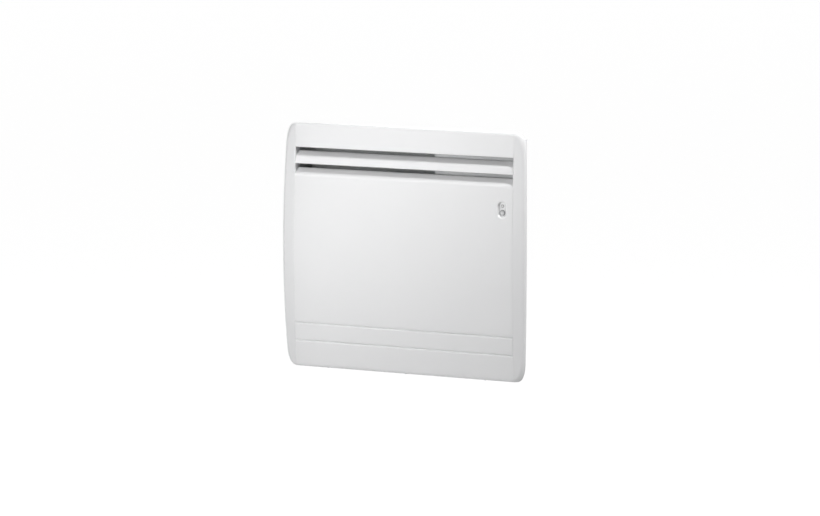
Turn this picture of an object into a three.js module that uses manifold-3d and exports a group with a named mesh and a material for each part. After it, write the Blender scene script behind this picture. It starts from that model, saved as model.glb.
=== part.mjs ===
// Wall panel convector heater: a pressed steel front with two louvres between two moulded end
// caps, on a sheet steel casing that hangs from a wall bracket.
//
// Millimetres. X to the right for a person who faces the heater, +Z up, the room at -Y. The wall
// is the plane y = 0, and the origin is on it at half the heater's height. A "depth" below is the
// distance from the wall, so y = -depth.

import * as THREE from 'three';
import { mergeVertices } from 'three/addons/utils/BufferGeometryUtils.js';
import Module from 'manifold-3d';

const wasm = await Module();
wasm.setup();

// ---------------------------------------------------------------- driving dimensions

const height = 575;            // top edge to bottom edge of the front
const depth = 112;             // wall to the crown of the front
const bulge = 11.8;            // depth that the front's top and bottom edges lose to its crown
const panelWidth = 550.6;      // steel front, between the end caps
const fit = 0.3;               // clearance between pieces that touch

const panelSheet = 1.2;        // steel of the front
const trayDepth = 32;          // crown of the front to the back edge of its returns
const edgeRadius = 8.5;        // bends along the top and bottom edges
const topHook = 6;             // down-turned hook at the back of the top return
const topStrip = 55.7;         // top edge to the lip over the upper slot
const lipReturn = 4;           // lip's fold into the slot
const upperSlot = 38.4;        // lip to the louvre blade's lower edge
const lowerSlot = 29.9;        // blade's lower edge to where the main panel starts to curl
const bladeFace = 12.8;        // straight face of the blade, below its curl
const bladeLean = 12;          // degrees that this face leans back
const curlRadius = 20;         // backward curl at the top of the blade and of the main panel
const curlRun = 1;             // flat run behind a curl
const lowerGroove = 63.1;      // bottom edge to the lower pressed groove
const grooveSpacing = 41.9;    // lower groove to upper groove
const grooveWidth = 4;
const grooveDepth = 1.3;

const capGap = 0.7;            // shadow gap between the front and an end cap
const capWidth = 32;           // end cap at half height
const capWall = 2.5;
const capRim = 6.5;            // rounding of a cap's side, front half
const capRoll = 4.5;           // rounding of a cap's side, back half
const capCorner = 55;          // height of a cap's rounded corners
const capSquare = 0.9;         // how much squarer these corners get from the face to the back
const capBowFront = 6.3;       // a cap's front outline draws in by this much at its corners
const capBowBack = 4.5;        // and its back outline by this much
const capTilt = 1.6;           // a cap's face falls back by this much at its rim
const capScrewPitch = 200;     // between the screws that hold a cap
const capPost = 9;             // diameter of the screw posts in a cap
const tabReach = 20;           // screw tabs of the front, behind the caps
const tabHeight = 18;
const panelScrewInset = 75.3;  // side of the front to the outer screws under it
const panelScrewHead = 3.4;    // radius of these screws' heads
const lugWidth = 16;           // casing's lugs that they go into

const caseSheet = 1.2;
const caseBack = 20;           // wall to the back of the casing
const caseTopInset = 21.5;     // top edge of the front down to the casing's top
const caseBottomInset = 25.5;  // bottom edge of the front up to the casing's bottom
const ductWidth = 341.8;       // heated part of the casing, on its left
const leafInset = 33;          // crown of the front to the back of the control compartment's cover
const leafDepth = depth - leafInset;
const shieldSheet = 0.8;
const intakeMargin = 12;       // inside of the duct's foot to the edges of its air intake
const glandInset = 41.8;       // casing's inner side to the supply gland
const glandOut = 22;           // casing's back to the gland's middle
const glandHole = 16;          // diameter of the gland's hole in the casing

const dishInset = 26.7;        // right edge of the front to the control dish's centre
const dishHeight = 112.4;      // half height up to the dish's centre
const dishWidth = 25.4;
const dishLength = 41;
const dishDepth = 5.4;
const dishWall = 1.6;
const dishFlare = 4.2;         // how far the dish's floor lies inside its rim
const buttonBelow = 7.2;       // dish's centre to the push button
const lampAbove = 8;           // dish's centre to the indicator
const buttonDiameter = 13.2;
const buttonTravel = 1.5;
const lampDiameter = 5.6;

const railPitch = 300;         // between the bracket's rails
const railWidth = 36;
const bracketSheet = 1.5;
const bracketTop = 200;        // over the origin
const hookHeight = 150;        // throat of the hooks over the origin
const hookArm = 4;
const hookTip = 12;
const hookPlay = 0.5;          // room on either side of a hook in its slot
const liftTravel = 16;         // lift that takes the casing off its hooks
const crossBar = 40;           // height of the bracket's cross bar
const lockDrop = 10;           // casing's bottom down to its lock screws
const lockDiameter = 4;
const earWidth = 24;

const elementLength = 270;
const elementHeight = 64;
const elementDeep = 42;
const elementFins = 14;
const finThickness = 1.8;
const elementHub = 16;         // diameter of the extrusion's hub
const coreDiameter = 8;
const elementRise = 96;        // casing's bottom up to the element's axis
const elementDepth = 53;       // wall to the element's axis

const dialDiameter = 34;
const dialRise = 8;            // dial over the casing's top
const housingInset = 60;       // partition to the control housing on the top
const housingWidth = 108;
const housingDeep = 44;
const housingDrop = 40;
const housingWall = 2.2;
const sliderTravel = 14;

// ---------------------------------------------------------------- shared helpers

const degrees = (angle) => (angle * Math.PI) / 180;
const span = (count) => Array.from({ length: count }, (_, index) => index);

/** Turns a closed geometry into a solid whose shared corners are merged and that faces out. */
function solid(geometry) {
  const bare = geometry.clone();
  bare.deleteAttribute('normal');
  bare.deleteAttribute('uv');
  const grid = 1024;             // corners snap to 1/1024 mm, so that flush faces are exactly flush
  bare.attributes.position.array.forEach((value, index, all) => {
    all[index] = Math.round(value * grid) / grid;
  });
  const merged = mergeVertices(bare, 1e-4);
  const corners = merged.attributes.position;
  const source = merged.index.array;
  const triangles = [];
  let volume = 0;
  const [a, b, c] = [new THREE.Vector3(), new THREE.Vector3(), new THREE.Vector3()];
  for (let i = 0; i < source.length; i += 3) {
    const [p, q, r] = [source[i], source[i + 1], source[i + 2]];
    if (p === q || q === r || r === p) continue;
    triangles.push(p, q, r);
    a.fromBufferAttribute(corners, p);
    b.fromBufferAttribute(corners, q);
    c.fromBufferAttribute(corners, r);
    volume += a.dot(b.cross(c));
  }
  if (volume < 0) triangles.reverse();
  const mesh = new wasm.Mesh({
    numProp: 3,
    vertProperties: new Float32Array(corners.array),
    triVerts: new Uint32Array(triangles),
  });
  return new wasm.Manifold(mesh);
}

const join = (...pieces) => pieces.reduce((whole, piece) => whole.add(piece));
const cut = (whole, ...pieces) => pieces.reduce((rest, piece) => rest.subtract(piece), whole);

/** Box from its [low, high] ranges in x, depth and z. */
function box(x, deep, z) {
  const geometry = new THREE.BoxGeometry(x[1] - x[0], deep[1] - deep[0], z[1] - z[0]);
  geometry.translate((x[0] + x[1]) / 2, -(deep[0] + deep[1]) / 2, (z[0] + z[1]) / 2);
  return solid(geometry);
}

/** Extrudes a 2-D outline: u and v are the directions of its two coordinates. */
function extrusion(outline, u, v, start, length) {
  const shape = new THREE.Shape(outline.map(([first, second]) => new THREE.Vector2(first, second)));
  const geometry = new THREE.ExtrudeGeometry(shape, { depth: length, bevelEnabled: false });
  const w = new THREE.Vector3().crossVectors(u, v);
  geometry.applyMatrix4(new THREE.Matrix4().makeBasis(u, v, w).setPosition(start));
  return solid(geometry);
}

/** An extrusion with holes cut right through it. */
function prism(outline, holes, u, v, start, length) {
  const w = new THREE.Vector3().crossVectors(u, v);
  const before = start.clone().addScaledVector(w, -1);
  const cutters = holes.map((hole) => extrusion(hole, u, v, before, length + 2));
  return cut(extrusion(outline, u, v, start, length), ...cutters);
}

const RIGHT = new THREE.Vector3(1, 0, 0);
const ROOM = new THREE.Vector3(0, -1, 0);
const UP = new THREE.Vector3(0, 0, 1);

/** Outline in [depth, z], from x0 to x1. */
const alongX = (outline, [x0, x1], holes = []) =>
  prism(outline, holes, ROOM, UP, new THREE.Vector3(x1, 0, 0), x1 - x0);

/** Outline in [x, z], between two depths. */
const alongDepth = (outline, [near, far], holes = []) =>
  prism(outline, holes, RIGHT, UP, new THREE.Vector3(0, -near, 0), far - near);

/** Outline in [x, depth], from z0 to z1. */
const alongZ = (outline, [z0, z1], holes = []) =>
  prism(outline, holes, RIGHT, ROOM, new THREE.Vector3(0, 0, z1), z1 - z0);

/** Turns a [radius, height] profile about an axis: 'x', 'depth' or 'z', through a point. */
function revolve(profile, axis, [x, deep, z], segments = 24) {
  const points = profile.map(([radius, along]) => new THREE.Vector2(radius, along));
  const geometry = new THREE.LatheGeometry(points, segments);
  if (axis === 'x') geometry.rotateZ(-Math.PI / 2);
  if (axis === 'z') geometry.rotateX(Math.PI / 2);
  if (axis === 'depth') geometry.rotateX(Math.PI);
  geometry.translate(x, -deep, z);
  return solid(geometry);
}

/** Plain pin from one end to the other along an axis. */
const pin = (radius, [from, to], axis, place, segments = 24) =>
  revolve([[0, from], [radius, from], [radius, to], [0, to]], axis, place, segments);

/** A range on the right side, or the same range mirrored to the left. */
const mirrored = ([near, far], side) => (side > 0 ? [near, far] : [-far, -near]);

/** The range of a given width about a middle. */
const about = (middle, width) => [middle - width / 2, middle + width / 2];

const rectangle = ([x0, x1], [y0, y1]) => [[x0, y0], [x1, y0], [x1, y1], [x0, y1]];

const circle = ([cx, cy], radius, count = 20) => span(count).map((index) => {
  const angle = (2 * Math.PI * index) / count;
  return [cx + radius * Math.cos(angle), cy + radius * Math.sin(angle)];
});

/** Upright stadium outline: round ends above and below a straight middle. */
function stadium([cx, cy], halfWidth, halfLength, count = 10) {
  const straight = Math.max(halfLength - halfWidth, 0);
  return [0, 1].flatMap((end) => span(count + 1).map((index) => {
    const angle = Math.PI * (end + index / count);
    const lift = end === 0 ? straight : -straight;
    return [cx + halfWidth * Math.cos(angle), cy + lift + halfWidth * Math.sin(angle)];
  }));
}

/** Points of an arc in [depth, z]; angles in degrees, 0 towards the room and 90 up. */
const arc = ([cx, cz], radius, from, to, steps) => span(steps + 1).map((index) => {
  const angle = degrees(from + ((to - from) * index) / steps);
  return [cx + radius * Math.cos(angle), cz + radius * Math.sin(angle)];
});

/** Closed outline of a sheet whose outer face follows a path; its body is right of the path. */
function sheetOutline(path, thickness) {
  const inner = path.map((point, index) => {
    const before = path[Math.max(index - 1, 0)];
    const after = path[Math.min(index + 1, path.length - 1)];
    const sides = [[before, point], [point, after]].map(([from, to]) => {
      const [dx, dz] = [to[0] - from[0], to[1] - from[1]];
      const length = Math.hypot(dx, dz);
      return length > 1e-9 ? [dz / length, -dx / length] : null;
    });
    const [first, second] = [sides[0] ?? sides[1], sides[1] ?? sides[0]];
    const scale = thickness / (1 + first[0] * second[0] + first[1] * second[1]);
    return [point[0] + (first[0] + second[0]) * scale, point[1] + (first[1] + second[1]) * scale];
  });
  return [...path, ...inner.reverse()];
}

/** Joins equally long rings of [x, depth, z] points into a wall, and closes both of its ends. */
function loft(rings, closeEnd = fan) {
  const count = rings[0].length;
  const faces = [];
  for (let level = 0; level + 1 < rings.length; level += 1) {
    for (let index = 0; index < count; index += 1) {
      const next = (index + 1) % count;
      const [a, b] = [level * count + index, level * count + next];
      faces.push(a, b, b + count, a, b + count, a + count);
    }
  }
  for (const [start, flip] of [[0, true], [(rings.length - 1) * count, false]]) {
    for (const triangle of closeEnd(count)) {
      faces.push(...(flip ? [...triangle].reverse() : triangle).map((corner) => start + corner));
    }
  }
  const positions = rings.flat().flatMap(([x, deep, z]) => [x, -deep, z]);
  const geometry = new THREE.BufferGeometry();
  geometry.setAttribute('position', new THREE.Float32BufferAttribute(positions, 3));
  geometry.setIndex(faces);
  return solid(geometry);
}

/** End of a loft as a fan of triangles from its first corner. */
function fan(count) {
  return span(count - 2).map((index) => [0, index + 1, index + 2]);
}

/** End of a loft as a strip between the ring's first `row` corners and the corners that return. */
const strip = (row) => (count) => {
  const opposite = (index) => (index === 0 || index === row - 1 ? index : count - index);
  return span(row - 1).flatMap((index) => {
    const [a, b, c, d] = [index, index + 1, opposite(index + 1), opposite(index)];
    return [[a, b, c], [a, c, d]];
  });
};

const heater = new THREE.Group();

const finishes = {
  whiteSteel: { color: 0xe9eaec, roughness: 0.38, metalness: 0 },
  whitePlastic: { color: 0xe2e3e6, roughness: 0.42, metalness: 0 },
  greyPlastic: { color: 0x8d9095, roughness: 0.45, metalness: 0 },
  blackPlastic: { color: 0x2c2d30, roughness: 0.5, metalness: 0 },
  zincSteel: { color: 0xb4b7ba, roughness: 0.4, metalness: 0.8 },
  aluminium: { color: 0xc3c6c9, roughness: 0.35, metalness: 0.9 },
  brightSteel: { color: 0xd0d2d4, roughness: 0.28, metalness: 1 },
  ceramic: { color: 0xe6ddca, roughness: 0.6, metalness: 0 },
  board: { color: 0x2f6b45, roughness: 0.55, metalness: 0 },
  lens: { color: 0xf4f4ee, roughness: 0.2, metalness: 0 },
  redCover: { color: 0x9a3a2c, roughness: 0.6, metalness: 0 },
  blueCover: { color: 0x35508a, roughness: 0.6, metalness: 0 },
};

/** Adds a solid to a group as a named mesh with a finish. */
function add(name, body, finish, group = heater) {
  const { vertProperties, triVerts, numProp } = body.asOriginal().simplify(0.004).getMesh();
  const geometry = new THREE.BufferGeometry();
  const corners = new Float32Array((vertProperties.length / numProp) * 3);
  for (let index = 0; index < corners.length / 3; index += 1) {
    for (const axis of [0, 1, 2]) corners[index * 3 + axis] = vertProperties[index * numProp + axis];
  }
  geometry.setAttribute('position', new THREE.BufferAttribute(corners, 3));
  geometry.setIndex(new THREE.BufferAttribute(new Uint32Array(triVerts), 1));
  const material = new THREE.MeshStandardMaterial({ ...finishes[finish], flatShading: true });
  const mesh = new THREE.Mesh(geometry, material);
  mesh.name = name;
  group.add(mesh);
  return mesh;
}

const sides = [['left', -1], ['right', 1]];

// ---------------------------------------------------------------- places that pieces share

const half = height / 2;
const panelHalf = panelWidth / 2;
const panelBack = depth - trayDepth;
const caseHalf = panelHalf - panelSheet - fit;
const caseInner = caseHalf - caseSheet;
const caseFront = caseBack + caseSheet;
const caseTop = half - caseTopInset;
const caseBottom = -half + caseBottomInset;
const flangeBack = panelBack + panelSheet + fit;
const flangeFront = flangeBack + caseSheet;
const partition = -caseInner + ductWidth;
const lipZ = half - topStrip;
const bladeZ = lipZ - upperSlot;
const curlZ = bladeZ - lowerSlot;
const grooveLevels = [-half + lowerGroove + grooveSpacing, -half + lowerGroove];
const capScrewLevels = [capScrewPitch, 0, -capScrewPitch];
const capInner = panelHalf + capGap;
const postRoom = 3;            // inner wall of a cap to its screw posts
const postX = capInner + capWall + postRoom + capPost / 2;
const elementX = (-caseInner + partition) / 2;
const elementZ = caseBottom + elementRise;

/** Depth of the front's arched surface at a height, and its normal's angle above level. */
const frontDepth = (z) => depth - bulge * (z / half) ** 2;
const frontAngle = (z) => (Math.atan((2 * bulge * z) / half ** 2) * 180) / Math.PI;

/** The front's arch from a higher to a lower height, with corners at shared stations. */
function frontRun(from, to) {
  const stations = 18;
  const levels = span(stations + 1).map((index) => half - (height * index) / stations);
  const between = levels.filter((z) => z < from - 0.5 && z > to + 0.5);
  return [from, ...between, to].map((z) => [frontDepth(z), z]);
}

/** Bend from the flat top return into the arch; mirrored, the bend at the bottom. */
function edgeBend(steps) {
  const angle = frontAngle(half);
  const centreZ = half - edgeRadius;
  const endZ = centreZ + edgeRadius * Math.sin(degrees(angle));
  const centreDepth = frontDepth(endZ) - edgeRadius * Math.cos(degrees(angle));
  return arc([centreDepth, centreZ], edgeRadius, 90, angle, steps);
}

// ---------------------------------------------------------------- the pressed steel front

function topStripPath() {
  const bend = edgeBend(6);
  return [
    [panelBack, half - topHook], [panelBack, half], ...bend,
    ...frontRun(bend.at(-1)[1], lipZ).slice(1), [frontDepth(lipZ) - lipReturn, lipZ],
  ];
}

/** Louvre blade: a leaning face that curls back to level at its top. */
function bladePath() {
  const lean = degrees(bladeLean);
  const edge = [frontDepth(bladeZ), bladeZ];
  const top = [edge[0] - bladeFace * Math.tan(lean), bladeZ + bladeFace];
  const centre = [top[0] - curlRadius * Math.cos(lean), top[1] - curlRadius * Math.sin(lean)];
  const curl = arc(centre, curlRadius, 90, bladeLean, 8);
  return [[centre[0] - curlRun, centre[1] + curlRadius], ...curl, edge, [edge[0] - lipReturn, edge[1]]];
}

/** Main panel: curled top, arch with two pressed grooves, bend and bottom return. */
function mainPanelPath() {
  const angle = frontAngle(curlZ);
  const centre = [
    frontDepth(curlZ) - curlRadius * Math.cos(degrees(angle)),
    curlZ - curlRadius * Math.sin(degrees(angle)),
  ];
  const path = [[centre[0] - curlRun, centre[1] + curlRadius], ...arc(centre, curlRadius, 90, angle, 8)];
  for (const z of grooveLevels) {
    path.push(...frontRun(path.at(-1)[1], z + grooveWidth / 2).slice(1));
    for (const [rise, sink] of [[0.28, 0.8], [0, 1], [-0.28, 0.8]]) {
      path.push([frontDepth(z) - sink * grooveDepth, z + rise * grooveWidth]);
    }
    path.push([frontDepth(z - grooveWidth / 2), z - grooveWidth / 2]);
  }
  const bend = edgeBend(6).map(([deep, z]) => [deep, -z]).reverse();
  path.push(...frontRun(path.at(-1)[1], bend[0][1]).slice(1), ...bend.slice(1), [panelBack, -half]);
  return path;
}

/** Side of the tray: a plate from the arch back to the edge of the returns. */
function sideReturn(side) {
  const bend = edgeBend(6);
  const low = bend.map(([deep, z]) => [deep, -z]).reverse();
  const outline = [
    [panelBack, half], ...bend, ...frontRun(bend.at(-1)[1], low[0][1]).slice(1, -1), ...low,
    [panelBack, -half],
  ];
  return alongX(outline, mirrored([panelHalf - panelSheet, panelHalf], side));
}

/** Tabs behind the tray's sides that the end caps are screwed to. */
function capTabs(side) {
  return capScrewLevels.map((z) => alongDepth(
    rectangle(mirrored([panelHalf - panelSheet, panelHalf + tabReach], side),
      [z - tabHeight / 2, z + tabHeight / 2]),
    [panelBack, panelBack + panelSheet],
    [circle([side * postX, z], 1.8, 12)],
  ));
}

const dishX = panelHalf - dishInset;
const panelScrewDepth = flangeFront + panelScrewHead;
const panelScrewPlaces = [-1, 0, 1].map((side) => side * (panelHalf - panelScrewInset));

function buildFront() {
  const across = [-panelHalf, panelHalf];
  const strips = [topStripPath(), bladePath(), mainPanelPath()]
    .map((path) => alongX(sheetOutline(path, panelSheet), across));
  const returns = sides.flatMap(([, side]) => [sideReturn(side), ...capTabs(side)]);
  const dishHole = alongDepth(
    stadium([dishX, dishHeight], dishWidth / 2 + fit, dishLength / 2 + fit, 12), [depth - 12, depth + 6]);
  const screwHoles = panelScrewPlaces
    .map((x) => pin(2.3, [-half - 4, -half + 4], 'z', [x, panelScrewDepth, 0], 12));
  add('front_panel', cut(join(...strips, ...returns), dishHole, ...screwHoles), 'whiteSteel');
}

buildFront();

// ---------------------------------------------------------------- moulded end caps

/** One row of a cap's skin: inset and set back from the outline, from its top to its bottom. */
function capRow({ inset, setBack, back, wall, steps = 7, middle = 6 }) {
  const power = 2 + capSquare * back;
  const cornerZ = half - capCorner;
  const bow = capBowFront + (capBowBack - capBowFront) * back;
  const inner = capInner + wall;
  const point = (z, factor) => {
    const outer = capInner + capWidth - bow * (z / cornerZ) ** 2 - inset(factor);
    return [inner + (outer - inner) * factor, frontDepth(z) - setBack(factor), z];
  };
  const corner = span(steps).map((index) => {
    const angle = degrees(90 - (90 * index) / steps);
    const reach = capCorner - inset(0);
    const z = cornerZ + reach * Math.sin(angle) ** (2 / power);
    return point(z, Math.cos(angle) ** (2 / power));
  });
  corner[0] = point(half - inset(0), 0);
  const side = span(middle + 1).map((index) => point(cornerZ * (1 - (2 * index) / middle), 1));
  const low = corner.map(([x, deep, z]) => [x, deep, -z]).reverse();
  return [...corner, ...side, ...low];
}

/** Solid inside a cap's skin, a wall's thickness further in if asked. */
function capBody(wall, through) {
  const radius = (factor) => edgeRadius + (capRim - edgeRadius) * factor;
  const rows = [90, 60, 30, 0].map((turn) => {
    const [flat, drop] = [1 - Math.cos(degrees(turn)), 1 - Math.sin(degrees(turn))];
    return capRow({
      inset: (factor) => wall + (radius(factor) - wall) * flat,
      setBack: (factor) => wall + (radius(factor) - wall) * drop + capTilt * factor * (1 - flat * 0.2),
      back: drop,
      wall,
    });
  });
  rows.push(...[35, 70].map((turn) => capRow({
    inset: () => wall + capRoll * (1 - Math.cos(degrees(turn))),
    setBack: (factor) => radius(factor) + capTilt * factor + capRoll * Math.sin(degrees(turn)),
    back: 1,
    wall,
  })));
  if (through) rows.push(rows.at(-1).map(([x, deep, z]) => [x, deep - capRim, z]));
  const count = rows[0].length;
  const inner = capInner + wall;
  const spine = (row) => row.slice(1, -1).map(([, deep, z]) => [inner, deep, z]);
  const lift = (row) => row.slice(1, -1).map(([, , z]) => [inner, frontDepth(z) - wall, z]);
  const first = [...rows[0], ...lift(rows[0]).reverse()];
  const last = [...rows.at(-1), ...spine(rows.at(-1)).reverse()];
  const rings = [first, ...rows.slice(1, -1).map((row) => [...row, ...spine(row).reverse()]), last];
  return loft(rings, strip(count));
}

function buildCaps() {
  const outside = capBody(0, false);
  const shell = outside.subtract(capBody(capWall, true));
  const ribs = [-1, 1].map((level) => {
    const z = (level * capScrewPitch) / 2;
    const reach = [capInner, capInner + capWidth];
    const deep = [frontDepth(z) - capRim - capTilt, depth];
    return box(reach, deep, [z - capWall / 2, z + capWall / 2]).intersect(outside);
  });
  const posts = capScrewLevels.map((z) => {
    const ends = [flangeBack, frontDepth(z) - capTilt - capWall / 2];
    const post = pin(capPost / 2, ends, 'depth', [postX, 0, z], 14);
    return post.subtract(pin(1.3, [flangeBack - 1, flangeBack + 8], 'depth', [postX, 0, z], 10));
  });
  const right = join(shell, ...ribs, ...posts);
  add('end_cap_right', right, 'whitePlastic');
  add('end_cap_left', right.mirror([1, 0, 0]), 'whitePlastic');
}

buildCaps();

/** Pan head screw along an axis; its head's underside is at 0 and its tip at -length. */
function screw(name, { head, rise, shank, length, axis, place, way = 1 }) {
  const profile = [
    [0, rise], [head * 0.75, rise], [head, 0], [shank, 0], [shank, -length], [0, -length],
  ].map(([radius, along]) => [radius, along * way]);
  add(name, revolve(profile, axis, place, 12), 'brightSteel');
}

for (const [name, side] of sides) {
  capScrewLevels.forEach((z, index) => screw(`cap_screw_${name}_${index + 1}`, {
    head: 2.9, rise: 1.9, shank: 1, length: 8, axis: 'depth', way: -1,
    place: [side * postX, panelBack - fit, z],
  }));
}

panelScrewPlaces.forEach((x, index) => screw(`panel_screw_${index + 1}`, {
  head: panelScrewHead, rise: 2, shank: 1.6, length: 8, axis: 'z', way: -1,
  place: [x, panelScrewDepth, -half - fit],
}));

// ---------------------------------------------------------------- casing

const hookX = railPitch / 2 + railWidth / 2 - bracketSheet / 2;
const lockZ = caseBottom - lockDrop;
const housingX = partition + housingInset + housingWidth / 2;
const housingDepth = (caseFront + leafDepth) / 2;
const intake = {
  x: [-caseInner + intakeMargin, partition - intakeMargin],
  deep: [caseBack + intakeMargin, panelBack - intakeMargin],
};
const glandX = caseInner - glandInset;
const glandDepth = caseBack + glandOut;

function buildCasing() {
  const hookSlot = (x) => rectangle(about(x, bracketSheet + 2 * hookPlay),
    [hookHeight - hookArm - liftTravel - hookPlay - fit, hookHeight + fit]);
  const flangeZ = half - panelSheet - fit;
  const within = caseSheet / 2;
  const tub = box([-caseHalf, caseHalf], [caseBack, flangeBack + within], [caseBottom, caseTop]);
  const flange = box([-caseHalf, caseHalf], [flangeBack, flangeFront], [-flangeZ, flangeZ]);
  const hollow = box([-caseInner, caseInner], [caseFront, flangeFront + 1],
    [caseBottom + caseSheet, caseTop - caseSheet]);
  const ears = [-1, 1].map((side) => {
    const x = (side * railPitch) / 2;
    return alongDepth(
      rectangle(about(x, earWidth), [lockZ - lockDrop + 1, caseBottom + within]),
      [caseBack, caseFront], [circle([x, lockZ], lockDiameter / 2 + fit, 14)]);
  });
  const lugs = panelScrewPlaces.map((x) => alongZ(
    rectangle(about(x, lugWidth), [flangeBack + within, panelScrewDepth + lugWidth / 4]),
    [-flangeZ, -flangeZ + caseSheet], [circle([x, panelScrewDepth], 1.9, 12)]));
  const openings = [
    ...[-hookX, hookX].map((x) => alongDepth(hookSlot(x), [caseBack - 1, caseFront + 1])),
    box(about(housingX, housingWidth + 2 * fit), about(housingDepth, housingDeep + 2 * fit),
      [caseTop - 3, caseTop + 1]),
    box(intake.x, intake.deep, [caseBottom - 1, caseBottom + 3]),
    pin(glandHole / 2, [caseBottom - 1, caseBottom + 3], 'z', [glandX, glandDepth, 0], 20),
  ];
  add('rear_casing', cut(join(cut(join(tub, flange), hollow), ...ears, ...lugs), ...openings), 'whiteSteel');
}

buildCasing();

/** Slotted sheet over the intake, lying on the casing's bottom wall. */
function buildIntakeGrille() {
  const [slots, rows, bar, rim] = [12, 2, 4.5, 5];
  const outline = rectangle([intake.x[0] - rim, intake.x[1] + rim],
    [intake.deep[0] - rim, intake.deep[1] + rim]);
  const pitch = (intake.x[1] - intake.x[0]) / slots;
  const rowPitch = (intake.deep[1] - intake.deep[0]) / rows;
  const holes = span(slots).flatMap((slot) => span(rows).map((row) => {
    const centre = [intake.x[0] + pitch * (slot + 0.5), intake.deep[0] + rowPitch * (row + 0.5)];
    return rectangle(about(centre[0], pitch - bar), about(centre[1], rowPitch - bar));
  }));
  const base = caseBottom + caseSheet + fit;
  add('intake_grille', alongZ(outline, [base, base + shieldSheet], holes), 'zincSteel');
}

buildIntakeGrille();

// ---------------------------------------------------------------- wall bracket and its locks

function buildBracket() {
  const bottom = lockZ - 8;
  const reach = caseBack - fit;
  const rail = (x, outer) => {
    const wallSlots = [bracketTop - 30, caseBottom + 42]
      .map((z) => stadium([x, z], 3.5, 8, 6));
    const web = alongDepth(rectangle([x - railWidth / 2, x + railWidth / 2], [bottom, bracketTop]),
      [0, bracketSheet], wallSlots);
    const tipBack = caseFront + fit;
    const hook = [
      [0, bottom], [reach, bottom], [reach, hookHeight - hookArm],
      [tipBack + 3, hookHeight - hookArm], [tipBack + 3, hookHeight + hookTip - 2],
      [tipBack + 1.5, hookHeight + hookTip], [tipBack, hookHeight + hookTip - 2],
      [tipBack, hookHeight], [reach, hookHeight], [reach, bracketTop - 12],
      [reach - 12, bracketTop], [0, bracketTop],
    ];
    const plain = [[0, bottom], [reach, bottom], [reach, bracketTop - 12], [reach - 12, bracketTop],
      [0, bracketTop]];
    const flange = (outline, side) => alongX(outline, mirrored([
      railWidth / 2 - bracketSheet, railWidth / 2], side).map((offset) => x + offset));
    const tabTop = lockZ + lockDrop * 0.6;
    const slotHalf = lockDiameter / 2 + fit;
    const notch = arc([0, lockZ], slotHalf, 180, 360, 8).map(([across, z]) => [x + across, z]);
    const tab = alongDepth([
      [x - railWidth / 2, bottom], [x + railWidth / 2, bottom], [x + railWidth / 2, tabTop],
      [x + slotHalf, tabTop], ...notch.reverse(), [x - slotHalf, tabTop], [x - railWidth / 2, tabTop],
    ], [reach - bracketSheet, reach]);
    return join(web, flange(hook, outer), flange(plain, -outer), tab);
  };
  const barReach = railPitch / 2 - railWidth / 2 + bracketSheet;
  const bar = box([-barReach, barReach], [0, bracketSheet], [-crossBar / 2, crossBar / 2]);
  const lips = [-1, 1].map((side) => box([-barReach, barReach], [0, caseBack / 2],
    side > 0 ? [crossBar / 2 - bracketSheet, crossBar / 2] : [-crossBar / 2, -crossBar / 2 + bracketSheet]));
  add('wall_bracket', join(rail(-railPitch / 2, -1), rail(railPitch / 2, 1), bar, ...lips), 'zincSteel');
}

buildBracket();

function buildLocks() {
  const nutFront = caseBack - fit - bracketSheet - fit;
  const nutThickness = 2.4;
  for (const [name, side] of sides) {
    const x = (side * railPitch) / 2;
    screw(`lock_screw_${name}`, {
      head: 4, rise: 2.6, shank: lockDiameter / 2, length: 9, axis: 'depth', way: 1,
      place: [x, caseFront + fit, lockZ],
    });
    add(`lock_nut_${name}`, alongDepth(rectangle([x - 4.5, x + 4.5], [lockZ - 4.5, lockZ + 4.5]),
      [nutFront - nutThickness, nutFront], [circle([x, lockZ], lockDiameter / 2 + fit, 14)]), 'zincSteel');
  }
}

buildLocks();

// ---------------------------------------------------------------- heating duct

const shieldFoot = caseFront + fit;
const shieldFace = caseFront + 9;
const ductX = [-caseInner + fit, partition - fit];
const bushRadius = 5.5;
const supportThickness = 1;

/** Sheet behind the element that keeps its heat off the casing and the wall. */
function buildRearShield() {
  const [low, high] = [elementZ - elementHeight * 0.75, elementZ + elementHeight * 3];
  const path = [
    [shieldFoot, high + 20], [shieldFoot, high + 8], [shieldFace, high], [shieldFace, low],
    [shieldFoot, low - 8], [shieldFoot, low - 20],
  ].map(([deep, z]) => [deep + shieldSheet, z]);
  add('rear_heat_shield', alongX(sheetOutline(path, shieldSheet), ductX), 'zincSteel');
}

/** Sheet in front of the element: the duct's front wall, leaning in towards the louvres. */
function buildBaffle() {
  const face = leafDepth - 1;
  const path = [
    [face + 4, curlZ - 30], [face, curlZ - 60], [face, elementZ], [face + 2, caseBottom + 40],
    [face + 2, caseBottom + 18],
  ];
  const wall = alongX(sheetOutline(path, shieldSheet), ductX);
  const flanges = [[ductX[0], ductX[0] + 1], [ductX[1] - 1, ductX[1]]]
    .map((x) => box(x, [face - 8, face - shieldSheet / 2], [caseBottom + 60, curlZ - 62]));
  add('front_baffle', join(wall, ...flanges), 'zincSteel');
}

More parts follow.
